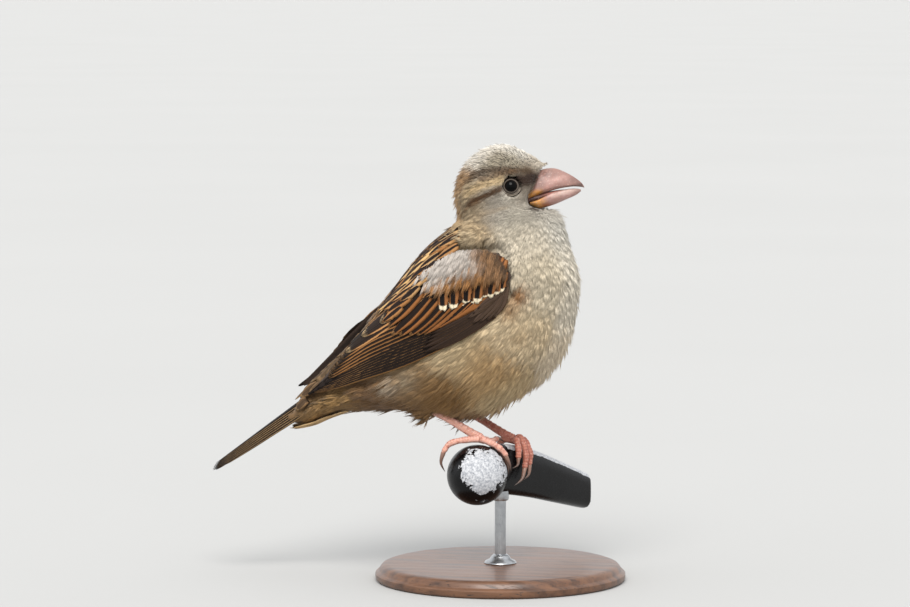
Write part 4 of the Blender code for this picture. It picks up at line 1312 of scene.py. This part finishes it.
# rows along the bill: forward, top, bottom and half-breadth
billShape = {
    "upper": ((7.2, -1.8, -6.9, 3.3), (9.0, -0.4, -6.6, 3.8), (11.0, 0.6, -6.2, 4.0), (14.3, 1.0, -5.9, 3.6),
              (17.5, 0.2, -5.8, 2.55), (21.0, -2.4, -6.1, 1.45), (23.5, -5.1, -6.8, 0.55),
              (24.3, -6.7, -7.25, 0.15)),
    "lower": ((7.4, -7.6, -8.8, 3.5), (9.8, -7.3, -10.3, 3.8), (14.0, -6.4, -10.2, 3.05),
              (18.0, -6.35, -9.5, 2.1), (21.4, -6.8, -8.8, 1.1), (23.1, -7.4, -8.0, 0.3)),
    "tongue": ((6.5, -5.6, -8.6, 3.3), (10.0, -5.6, -8.2, 3.5), (13.0, -5.9, -7.2, 2.6),
               (17.0, -6.2, -6.9, 1.4), (20.0, -6.6, -7.0, 0.3)),
    "nostril": (12.9, 2.35, 0.25),
    "sides": 48,
}


def billMesh(name, rows, widest, squareness, groove):
    sides = billShape["sides"]
    c, s = ovalRing(sides, squareness)
    rings = []
    for forward, top, bottom, half in smoothRows(rows, 9):
        level = top + (bottom - top) * widest
        up = np.where(c > 0, level + c * (top - level), level + c * (level - bottom))
        across = half * s
        if groove:  # a furrow along the lower edge, and a narrower ridge
            near = np.exp(-((up - bottom - 0.75) / 0.28) ** 2) * np.exp(-((forward - 13) / 5) ** 2)
            across = across * (1 - 0.05 * near)
            across = across * (1 - 0.10 * np.clip((up - level) / max(top - level, 0.1), 0, 1))
        rings.append(np.column_stack([np.full(sides, forward), across, up]))
    local, faces = closedRings(rings)
    if groove:
        for side in (-1, 1):
            nostril = np.array(billShape["nostril"]) * (1, side, 1)
            gap = np.linalg.norm((local - nostril) * (0.75, 1, 1.3), axis=1)
            local[:, 1] -= side * 0.5 * np.exp(-((gap / 0.55) ** 2))
    return outwardMesh(name, local @ headSquare.T + headShift, faces), local


def hornTones(local, upper):
    tones = np.tile(paint("8f6e66" if upper else "a5817a"), (len(local), 1))
    h, v = local[:, 0], local[:, 2]

    def spot(forward, up, long, high):
        return np.exp(-(((h - forward) / long) ** 2 + ((v - up) / high) ** 2))

    if upper:
        marks = (
            (0.6 * fade(v, -3.0, -0.2) * fade(-h, -22, -14), "7f635a"),
            (0.55 * spot(15.4, -1.6, 1.3, 1.1), "6f4d43"),
            (0.45 * fade(h, 19, 23), "5b443c"),
            # painted highlight: a paler spot along the upper mandible's middle
            (0.8 * spot(17.0, -2.9, 2.8, 0.9), "b59188"),
            (0.6 * spot(13.6, -4.6, 1.4, 0.8), "b08379"),
            (0.95 * spot(13.6, -0.4, 0.8, 0.65), "3f1a10"),  # nostril
            (0.7 * spot(11.6, -2.2, 1.2, 1.5), "5e4037"),
            (0.95 * fade(-v, 4.0, 5.2) * fade(-h, -13.0, -10.3), "bf8336"),  # gape
            (0.7 * fade(-v, 5.2, 6.0) * fade(h, 12, 15), "3d2a23"),
        )
    else:
        marks = (
            (0.6 * fade(v, -8.4, -7.2) * fade(h, 12, 15), "cdb5aa"),
            (0.9 * fade(-h, -13.4, -10.0), "c88f49"),
            (0.8 * spot(12.0, -9.7, 1.6, 0.7), "8c431c"),
            (0.5 * spot(15.5, -8.4, 0.9, 1.2), "8d6a5c"),
            (0.6 * fade(h, 19.5, 22.5), "6e5148"),
        )
    for share, code in marks:
        tones = overlaid(tones, share, code)
    return tones


def hornMaterial(name, roughness, deep, mottle=0.0, blotched="8f3f31", paintedHighlight="e6c9bd"):
    made, tree = newMaterial(name, {"Specular IOR Level": 0.42, "Subsurface Weight": deep,
                                    "Subsurface Radius": (0.002, 0.0008, 0.0005)})
    place = objectPlace(tree)
    grain, cloud = noise(place, 700.0, 5.0, 0.6), noise(place, 260.0, 3.0)
    flakes = wired(tree, "ShaderNodeTexVoronoi", {"Vector": place, "Scale": 1500.0}, feature="F1")
    tone = readField(tree, "tone", "Color")
    if mottle:  # redder blotches, and pale flecks as painted highlights
        tone = mixed(ramp(noise(place, 900.0, 4.0, 0.6), 0.48, 0.66) * mottle, tone, paint(blotched))
        tone = mixed(ramp(noise(place, 1900.0, 3.0), 0.58, 0.72) * mottle, tone, paint(paintedHighlight))
    colour = tone * ((grain * 0.30 + 0.86) * (cloud * 0.7 + 0.65))
    return finished(made, colour, grain + flakes * 0.25, 0.10, cloud * 0.3 + (roughness - 0.12))


billHorn = hornMaterial("billHorn", 0.40, 0.12, 0.45, "8b6458", "c8aa9e")
clawHorn = hornMaterial("clawHorn", 0.30, 0.0)
legScales = hornMaterial("legScales", 0.50, 0.12, 0.55)
lidSkin = hornMaterial("lidSkin", 0.62, 0.0)


def buildBill():
    for name, widest, squareness in (("upper", 0.84, 1.9), ("lower", 0.2, 2.0)):
        mesh, local = billMesh("bill_" + name, billShape[name], widest, squareness, name == "upper")
        setFields(mesh, tone=hornTones(local, name == "upper"))
        ridge(newObject("horn_bill_" + name, mesh, billHorn), "bill_horn", "bill_" + name)
    mesh, local = billMesh("tongue", billShape["tongue"], 0.5, 2.0, False)
    red = np.tile(paint("c08074"), (len(local), 1))
    # painted shade: the tongue darkens towards the back of the mouth
    setFields(mesh, tone=overlaid(red, fade(-local[:, 0], -16, -10), "3a211c"))
    ridge(newObject("tongue", mesh, billHorn), "bill_horn")


buildBill()


def eyeMaterial():
    made, tree = newMaterial("eyeGloss", {"Roughness": 0.07, "Specular IOR Level": 0.13, "IOR": 1.38})
    grain = noise(objectPlace(tree), 1400.0, 4.0, 0.6)
    return finished(made, readField(tree, "tone", "Color") * (grain * 0.9 + 0.5), grain, 0.004)


eyeGloss = eyeMaterial()


def buildEye(name, side, *replaced):
    centre, axis, right, up = eyeFrame(side)
    around = np.arange(eyePlace["sides"])[:, None] * 2 * math.pi / eyePlace["sides"]
    rings, widths = [], []
    for turn in np.linspace(0.02, math.pi - 0.02, eyePlace["rings"]):
        radius = eyePlace["radius"] + eyePlace["bulge"] * math.exp(-((turn / 0.45) ** 2))
        out = np.cos(around) * right + np.sin(around) * up
        rings.append(centre + axis * radius * math.cos(turn) + radius * math.sin(turn) * out)
        widths += [radius * math.sin(turn)] * eyePlace["sides"]
    iris = fade(np.array(widths + [0, 0]), eyePlace["pupil"] - 0.05, eyePlace["pupil"] + 0.1)
    mesh = outwardMesh(name, *closedRings(rings))
    setFields(mesh, tone=overlaid(np.tile(paint("020202"), (len(iris), 1)), iris, "120b08"))
    ridge(newObject(name, mesh, eyeGloss), "eye", *replaced)


buildEye("globe_right", -1, "eye_right")
buildEye("globe_left", 1, "eye_left")

# rings round each eye's opening: how far out, how thick, how deep, beads, colour and whether only below
lidShape = {
    "steps": 132, "sides": 10,
    "rings": ((0.07, 0.10, 0.03, 27, "5b5147", False), (0.27, 0.16, -0.20, 19, "3a322a", False),
              (0.62, 0.16, -0.52, 9, "7d7266", True), (0.98, 0.17, -0.86, 7, "8a7f71", True)),
}


def lidRing(side):  # a beaded rim of bare skin round the eye's opening, and softer ones outside it
    centre, axis, right, up = eyeFrame(side)
    steps, sides = lidShape["steps"], lidShape["sides"]
    points, faces, tones = [], [], []
    for opening, thick, depth, beads, code, low in lidShape["rings"]:
        first = len(points)
        reach = math.sqrt(eyePlace["radius"] ** 2 - eyePlace["opening"] ** 2) + depth
        for k, turn in enumerate(np.arange(steps) * 2 * math.pi / steps):
            out = math.cos(turn) * right + math.sin(turn) * up
            squeeze = 1 - 0.07 * abs(math.sin(turn))
            bead = 1 + 0.12 * math.cos(turn * beads)
            if low:
                bead *= 0.05 + 0.95 * fade(-math.sin(turn), -0.1, 0.5)
            hub = centre + axis * reach + out * (eyePlace["opening"] + opening) * squeeze
            for j in range(sides):
                small = j * 2 * math.pi / sides
                points.append(hub + (out * math.cos(small) + axis * math.sin(small)) * thick * bead)
                tones.append(paint(code) * (0.9 + 0.2 * (bead - 0.8)))
                m, n = (k + 1) % steps, (j + 1) % sides
                faces.append([first + a * sides + b for a, b in ((k, j), (k, n), (m, n), (m, j))])
    return points, faces, tones


# legs, feet and claws


# each kind's radius as rows of share and millimetres, the height and length of its plates, and its flatness
limbs = {
    "shank": (((0, 1.9), (0.14, 1.55), (0.3, 1.22), (0.6, 1.08), (0.85, 1.2), (1, 1.35)), 0.16, 1.7, 1.06),
    "pad": (((0, 1.15), (0.5, 1.6), (1, 0.9)), 0.10, 0.9, 1.0),
    "digit": (((0, 1.18), (0.16, 1.02), (0.33, 1.12), (0.5, 0.90), (0.66, 1.08), (0.84, 0.84), (0.93, 0.92),
               (1, 0.6)), 0.11, 0.85, 0.94),
    "claw": (((0, 0.5), (0.2, 0.58), (0.55, 0.36), (0.85, 0.17), (1, 0.05)), 0.0, 1.0, 1.25),
}


def tubeRings(path, kind, sides, upward):
    radius, ridges, plate, flat = limbs[kind]
    length, spotAt = measured(smoothRows(path, 14))
    steps = max(int(length / 0.16), 12)
    rings, marks = [], []
    for share in np.arange(steps + 1) / steps:
        where = share * length
        place = spotAt(where)
        way = unit(spotAt(where + 0.15) - spotAt(where - 0.15))
        top = np.array(upward(place), float)
        top = unit(top - way * (top @ way))
        side = np.cross(way, top)
        r = np.interp(share, *zip(*radius))
        cycle = (where / plate) % 1.0
        step = ridges * (cycle**1.5 - 0.45)
        furrow = math.exp(-(((cycle if cycle < 0.5 else cycle - 1) / 0.11) ** 2))
        ring = []
        for turn in np.arange(sides) * 2 * math.pi / sides:
            front = max(math.cos(turn) + 0.25, 0) / 1.25
            edge = math.exp(-(((abs(turn - math.pi) - 1.75) / 0.22) ** 2))  # the plates' side edge
            size = r + step * front + 0.012 * math.sin(where * 21 + 5 * turn) - ridges * 0.35 * edge
            ring.append(place + top * math.cos(turn) * size * flat + side * math.sin(turn) * size)
            marks.append((furrow * front, edge, share))
        rings.append(ring)
    points, faces = closedRings(rings)
    return points, faces, np.array(marks + [(0, 0, 0), (0, 0, 1)])


perchAxis = Vector((0.5, 0.866, 0)).normalized()
perchAcross = Vector((perchAxis.y, -perchAxis.x, 0))
ballMiddle = perchAxis * -11.06 + Vector((0, 0, -9.9))


def overBall(heading, turn, radius):
    way, tilt = math.radians(heading), math.radians(turn)
    level = Vector((math.cos(way), math.sin(way), 0)) * math.sin(tilt)
    return ballMiddle + (level + Vector((0, 0, math.cos(tilt)))) * radius


def overLever(along, across, up):
    return perchAxis * along + perchAcross * across + Vector((0, 0, up))


legShape = {
    "right": {"heel": (-20.7, -8.6, 10.5), "pad": (-4.6, -8.2, 0.9), "skin": "c79384", "warm": "b4775a"},
    # the left leg is the far one: its darker colours are painted shade
    "left": {"heel": (-13.1, 7.0, 8.6), "pad": (3.2, 5.5, -0.9), "skin": "ab6650", "warm": "93472f"},
}
# each digit's toe and claw, as places along, across and over the lever
leverDigits = {
    "right": {"2": (((-9.4, 0.1, 0.9), (-6.6, -0.2, 0.3), (-3.6, -0.5, -0.4), (-1.0, -0.7, 0.1)),
                    ((-0.4, -0.7, 0.1), (1.0, -0.8, -0.2), (2.6, -0.7, -1.2)))},
    "left": {
        "1": (((6.0, -0.4, -0.9), (5.0, -3.2, -1.1), (4.8, -4.9, -3.6), (4.8, -5.1, -7.2)),
              ((4.8, -5.2, -8.0), (4.8, -5.4, -10.2), (4.8, -4.7, -12.4))),
        "2": (((5.6, 0.6, -0.9), (3.6, 3.4, -0.6), (2.2, 5.3, -3.2), (1.9, 5.5, -5.4)),
              ((1.7, 5.6, -6.2), (1.0, 5.8, -7.7), (-0.8, 5.1, -8.6))),
        "3": (((6.4, 0.8, -0.8), (6.0, 3.0, 0.0), (5.4, 5.5, -4.6), (4.8, 5.6, -8.6)),
              ((4.4, 5.7, -9.6), (3.0, 5.9, -12.1), (0.4, 5.0, -14.0))),
        "4": (((7.0, 0.8, -0.9), (7.8, 2.8, -0.8), (7.7, 5.3, -4.4), (7.2, 5.5, -7.8)),
              ((7.0, 5.6, -8.8), (6.2, 5.9, -11.1), (4.2, 5.1, -12.8))),
    },
}
# the right foot's front toes go over the ball, by heading and reach in degrees, and its hind toe behind it
ballDigits = {"3": (32, 62), "4": (12, 54)}
hindDigit = {"heading": 190, "toe": ((0.6, 10.9), (-4.6, 10.5), (-8.2, 9.5), (-9.9, 7.4)),
             "claw": ((-10.3, 6.4), (-10.9, 3.6), (-9.7, 1.0))}


def digitPaths(side):
    digits = {}
    for name, rows in leverDigits[side].items():
        digits[name] = tuple([overLever(*p) for p in row] for row in rows)
    if side == "right":
        for name, (heading, reach) in ballDigits.items():
            toe = [overBall(heading, reach * s, 10.5) for s in (0.45, 0.75, 1)]
            toe.insert(0, Vector(legShape["right"]["pad"]))
            claw = [overBall(heading, reach + 5 + 26 * s, 10.25) for s in (0, 0.5, 1)]
            digits[name] = (toe, claw)
        way = math.radians(hindDigit["heading"])
        back = Vector((-math.cos(way), -math.sin(way), 0))
        digits["1"] = tuple([ballMiddle + back * s + Vector((0, 0, t)) for s, t in hindDigit[part]]
                            for part in ("toe", "claw"))
    return sorted(digits.items())


def awayFrom(side, digit):  # the way up for a digit: out from the middle of what it grips
    middle = ballMiddle if side == "right" and digit != "2" else overLever(5, 0, -8)
    return lambda place: Vector(place) - middle


def legTubes(side, digits):
    leg = legShape[side]
    heel, pad = Vector(leg["heel"]), Vector(leg["pad"])
    parts = []

    def add(path, kind, upward):
        points, faces, marks = tubeRings(path, kind, 20, upward)
        skinTone = np.tile(paint(leg["skin"]), (len(marks), 1))
        tones = overlaid(skinTone, np.clip(marks[:, 1] * 0.6 + 0.25 * marks[:, 2], 0, 1), leg["warm"])
        tones = tones * (1 - 0.42 * marks[:, :1]) + 0.04 * (1 - marks[:, :1])
        parts.append((points, faces, tones, 1))

    front = (pad - heel).cross(Vector((0, 1, 0))).normalized()
    front = front if front.z > 0 else -front
    top = heel + (heel - pad) * 0.18 + Vector((2.2, 0, 3.2))
    shank = [top, heel] + [heel.lerp(pad, share) for share in (0.35, 0.7, 0.93)]
    add(shank, "shank", lambda place: front)
    sole = [heel.lerp(pad, 0.84), pad + Vector((-0.2, 0, 0.15)), pad + (pad - heel).normalized() * 1.6]
    add(sole, "pad", lambda place: (0, 0, 1))
    for digit, (toe, claw) in digits:
        add(toe + [toe[-1] + (claw[0] - toe[-1]) * 0.6], "digit", awayFrom(side, digit))
    return parts


def buildClaws(side, digits):
    points, faces, shares = [], [], []
    for digit, (toe, claw) in digits:
        path = [toe[-1] - (toe[-1] - toe[-2]).normalized() * 0.4] + claw
        more, rings, marks = tubeRings(path, "claw", 16, awayFrom(side, digit))
        faces += [[len(points) + k for k in face] for face in rings]
        points += list(more)
        shares += list(marks[:, 2])
    mesh = outwardMesh("claws_" + side, points, faces)
    setFields(mesh, tone=overlaid(np.tile(paint("8a6a5c"), (len(points), 1)), np.array(shares), "231a16"))
    names = [f"claw_{side}_{digit}" for digit, _ in digits]
    ridge(newObject("horn_claws_" + side, mesh, clawHorn), "claw_horn", *names)


bare = []
for side in ("right", "left"):
    digits = digitPaths(side)
    bare += legTubes(side, digits)
    buildClaws(side, digits)


def joinBare(piece, parts):  # each part's points, faces, colours and material number become part of the skin
    made = bmesh.new()
    made.from_mesh(piece.data)
    tint = made.verts.layers.float_color["tone"]
    for points, faces, colours, slot in parts:
        verts = []
        for point, colour in zip(points, colours):
            vertex = made.verts.new(at(*point))
            vertex[tint] = (*colour, 1)
            verts.append(vertex)
        new = [made.faces.new([verts[i] for i in face]) for face in faces]
        bmesh.ops.recalc_face_normals(made, faces=new)
        for face in new:
            face.smooth = True
            face.material_index = slot
    made.to_mesh(piece.data)
    made.free()


joinBare(skin, bare + [(*lidRing(side), 2) for side in (-1, 1)])
for material in (legScales, lidSkin):
    skin.data.materials.append(material)


bedShape = {
    "along": (-0.5, 73), "rows": 40, "columns": 12, "lifts": (0.25, -0.1), "colour": "3a2d25",
    "low": ((0, 8, 18, 28, 44, 57, 73), (-2.5, -8.5, -10.2, -9.0, -7.0, -4.0, -0.6)),
    "high": ((0, 6, 16, 30, 44, 57, 73), (5.5, 10.5, 13.0, 12.0, 8.5, 5.0, 0.4)),
}


def bedSheet(left):  # a thin closed sheet under the folded wing's feathers
    rows, columns = bedShape["rows"], bedShape["columns"]
    points = []
    for lift in bedShape["lifts"]:
        for a in np.linspace(*bedShape["along"], rows):
            low, high = np.interp(a, *bedShape["low"]), np.interp(a, *bedShape["high"])
            for b in np.linspace(0, 1, columns):
                point = onWing(a, low + (high - low) * b, lift)
                points.append(toLeftWing(point, a) if left else point)
    half = rows * columns
    faces = gridFaces(rows, columns)
    faces += [tuple(half + i for i in face[::-1]) for face in faces]
    index = np.arange(half).reshape(rows, columns).tolist()
    rim = [row[0] for row in index] + index[-1][1:] + [row[-1] for row in index[-2::-1]] + index[0][-2:0:-1]
    faces += [(a, b, b + half, a + half) for a, b in zip(rim, rim[1:] + rim[:1])]
    return points, faces, np.tile(paint(bedShape["colour"]), (len(points), 1)), 0


joinBare(skin, [bedSheet(left) for left in (False, True)])
unwrapSkin(skin)
ridge(skin, "body_feather", *bodyNodes, "shank_right", "shank_left", "foot_right", "foot_left")
print("skin joined", len(skin.data.polygons), "faces")

# the perch and its stand


perchShape = {
    "sections": ((-8.0, -3.0, -15.5, 2.8), (0.0, -1.5, -16.8, 3.3), (13.0, -4.2, -19.2, 3.7),
                 (26.0, -8.8, -22.2, 4.0), (40.0, -14.2, -25.5, 4.0)),  # place, top, bottom and half-breadth
    "ball": 9.15,
    "patch": (1.9, 1.6),  # the worn place's middle on the ball, and its half sizes
    "patchHalf": (6.6, 6.3),
    "faces": ((0.985, 0.174, 0), (0, 0.09, 0.996), (0.173, -0.981, 0.087)),  # its right, up and outward
}
unworn = -0.6


def paintedMetal():  # black lacquer, worn to bright metal on the ball's face and along the top edge
    made, tree = newMaterial("leverPaint", {"Specular IOR Level": 0.24})
    place = objectPlace(tree)
    coarse, fine = noise(place, 330.0, 6.0, 0.62), noise(place, 1500.0, 5.0, 0.65)
    ragged = (coarse * 1.5 - 0.75) + (fine * 0.5 - 0.25)
    worn = ramp(readField(tree, "wear", "Fac") + ragged, 0.47, 0.53)
    chalk = mixed(ramp(fine, 0.35, 0.65), paint("8c8f95"), paint("c1c2c5"))
    chalk = mixed(ramp(noise(place, 3200.0, 3.0), 0.62, 0.74), chalk, paint("55565c"))
    dust = mixed(ramp(coarse, 0.45, 0.8), paint("030304"), paint("0b0c0e"))
    rough = worn * 0.32 + (fine * 0.22 + 0.14)
    return finished(made, mixed(worn, dust, chalk), fine * 0.3 - worn, 0.12, rough)


def perchWear(places):  # how bare the paint is: over 0.5 is metal
    sections = smoothRows(perchShape["sections"], 6)
    local = places - np.array(ballMiddle)
    right, up, out = (local @ np.array(axis) for axis in perchShape["faces"])
    onBall = np.abs(np.linalg.norm(local, axis=1) - perchShape["ball"]) < 0.6
    (patchRight, patchUp), (halfRight, halfUp) = perchShape["patch"], perchShape["patchHalf"]
    patch = 1.5 - np.hypot((right - patchRight) / halfRight, (up - patchUp) / halfUp)
    specks = unworn + 1.05 * np.exp(-(((right - 0.5) / 4.5) ** 2 + ((up + 7.4) / 1.5) ** 2))
    wear = np.where(onBall & (out > 0), np.maximum(np.clip(patch, unworn, 1.2), specks), unworn)
    along = places @ np.array(perchAxis)
    top = np.interp(along, sections[:, 0], sections[:, 1])
    edge = fade(places[:, 2] - top, -2.6, -0.9) * fade(along, -2.5, 1.5)
    return np.maximum(wear, np.where(onBall, unworn, unworn + 1.75 * edge))


def buildPerch():
    c, s = ovalRing(56, 3.2)
    rings = []
    for along, top, bottom, half in smoothRows(perchShape["sections"], 12):
        middle = np.array(perchAxis * along) + (0, 0, (top + bottom) / 2)
        rings.append(middle + np.outer(s * half, perchAcross) + np.outer(c * (top - bottom) / 2, (0, 0, 1)))
    blade = outwardMesh("blade", *closedRings(rings))
    joined = bmesh.new()
    joined.from_mesh(blade)
    bmesh.ops.create_uvsphere(joined, u_segments=64, v_segments=40, radius=perchShape["ball"] * mm,
                              matrix=Matrix.Translation(at(*ballMiddle)))
    joined.to_mesh(blade)
    joined.free()
    piece = remeshed(blade, "perch", 0.42, 5)
    setFields(piece.data, wear=perchWear(asMillimetres(readPoints(piece.data))))
    piece.data.materials.append(paintedMetal())
    ridge(piece, "lever_paint", "perch_lever")
    print("perch", len(piece.data.polygons), "faces")


buildPerch()

# each profile is radius and height from the stand's axis and foot
standShape = {
    "base": ((0, 0), (36.9, 0), (37.7, 0.35), (38.0, 0.9), (38.0, 2.2), (37.5, 2.7), (36.9, 2.9), (36.7, 3.2),
             (36.5, 3.9), (35.9, 4.6), (34.9, 4.95), (33.6, 5.0), (6.5, 5.0), (0, 5.0)),
    "rod": ((0, 3.5), (1.7, 3.5), (1.7, 27.4), (0, 27.4)),
    "collar": ((1.6, 4.9), (4.6, 4.9), (4.9, 5.2), (4.6, 5.7), (3.3, 6.3), (2.7, 7.2), (2.2, 7.7),
               (1.6, 7.8)),
    "cup": ((1.6, 24.2), (2.3, 24.3), (2.6, 24.8), (2.5, 27.2), (1.6, 27.4)),
}


def turnedPiece(name, profile, sides, material):  # a profile turned round the stand's axis
    made = bmesh.new()
    rows = []
    for r, z in profile:
        turns = np.arange(sides) * 2 * math.pi / sides
        rows.append([made.verts.new(Vector((r * math.cos(t), r * math.sin(t), z)) * mm) for t in turns])
    hollow = profile[0][0] > 0
    for near, far in zip(rows, rows[1:] + rows[:1] * hollow):
        for j in range(sides):
            k = (j + 1) % sides
            made.faces.new((near[j], near[k], far[k], far[j]))
    bmesh.ops.remove_doubles(made, verts=made.verts, dist=0.001 * mm)
    bmesh.ops.recalc_face_normals(made, faces=made.faces)
    mesh = meshOf(name, made)
    mesh.shade_smooth()
    mesh.set_sharp_from_angle(angle=math.radians(38))
    return newObject(name, mesh, material)


def woodMaterial():
    made, tree = newMaterial("standWood", {"Coat Weight": 0.25, "Coat Roughness": 0.2})
    place = objectPlace(tree)
    drawn = stretched(place, 0.11, 1.0, 1.0)
    grain = noise(drawn, 420.0, 8.0, 0.62)
    wave = {"Vector": drawn, "Scale": 55.0, "Distortion": 9.0, "Detail": 4.0, "Detail Scale": 1.4}
    bands = wired(tree, "ShaderNodeTexWave", wave, "Fac", bands_direction="Y")
    pores = ramp(noise(stretched(place, 0.05, 1.0, 1.0), 2600.0, 2.0), 0.60, 0.72)
    colour = mixed(bands, paint("3b2417"), paint("5d3d28"))
    colour = mixed(ramp(grain, 0.35, 0.7), colour, paint("6d4a32"))
    return finished(made, mixed(pores, colour, paint("1d110b")), grain - pores, 0.06, grain * 0.25 + 0.32)


def steelMaterial():
    made, tree = newMaterial("standSteel", {"Metallic": 1.0})
    place = objectPlace(tree)
    lines = noise(stretched(place, 1.0, 1.0, 0.03), 5200.0, 3.0)
    colour = mixed(noise(place, 500.0, 4.0), paint("8d9094"), paint("c2c4c6"))
    return finished(made, colour, lines, 0.02, lines * 0.2 + 0.2)


wood, steel = woodMaterial(), steelMaterial()
ridge(turnedPiece("stand_base_wood", standShape["base"], 128, wood), "stand_wood", "stand_base")
ridge(turnedPiece("stand_rod_steel", standShape["rod"], 40, steel), "stand_steel", "stand_rod")
ridge(turnedPiece("stand_collar_steel", standShape["collar"], 64, steel), "stand_steel")
ridge(turnedPiece("stand_cup_steel", standShape["cup"], 48, steel), "stand_steel")
for tuft in [piece for piece in bpy.data.objects if "Tuft" in piece.name]:
    bpy.data.objects.remove(tuft)

# camera, floor and light

viewShape = {"target": (-14.2, 1.13, 83.9), "distance": 1.15, "azimuth": 10, "elevation": 5, "lens": 150}
lightShape = {"sunFrom": (0.06, -0.68, 0.78), "sun": 3.2, "soft": 0.6, "sky": 1.2}


def placeCamera():
    a, e = math.radians(viewShape["azimuth"]), math.radians(viewShape["elevation"])
    back = Vector((math.sin(a) * math.cos(e), -math.cos(a) * math.cos(e), math.sin(e)))
    right = Vector((math.cos(a), math.sin(a), 0))
    made = bpy.data.cameras.new("camera")
    made.lens, made.sensor_width = viewShape["lens"], 36
    camera = newObject("camera", made)
    camera.location = Vector(viewShape["target"]) * mm + back * viewShape["distance"]
    camera.rotation_euler = Matrix((right, back.cross(right), back)).transposed().to_euler()
    bpy.context.scene.camera = camera


def buildFloor():
    made, tree = newMaterial("floorPaper", {"Roughness": 0.9, "Specular IOR Level": 0.2})
    paper = finished(made, mixed(noise(objectPlace(tree), 3.0, 3.0), paint("a9a9a8"), paint("adadac")))
    mesh = meshFrom("floor", [(-60, -60, 0), (60, -60, 0), (60, 60, 0), (-60, 60, 0)], [(0, 1, 2, 3)])
    newObject("floor", mesh, paper)


def buildLight():
    made = bpy.data.lights.new("key", "SUN")
    made.energy, made.angle, made.color = lightShape["sun"], lightShape["soft"], (1.0, 0.975, 0.94)
    lamp = newObject("key", made)
    lamp.rotation_euler = Vector(lightShape["sunFrom"]).to_track_quat("Z", "Y").to_euler()
    world = bpy.data.worlds.new("studio")
    world.use_nodes = True
    sky = world.node_tree.nodes["Background"]
    sky.inputs[0].default_value = (0.97, 0.985, 1.0, 1)
    sky.inputs[1].default_value = lightShape["sky"]
    bpy.context.scene.world = world
    bpy.context.scene.view_settings.view_transform = "Standard"


placeCamera()
buildFloor()
buildLight()
print("camera and light ready")

bpy.context.view_layer.update()
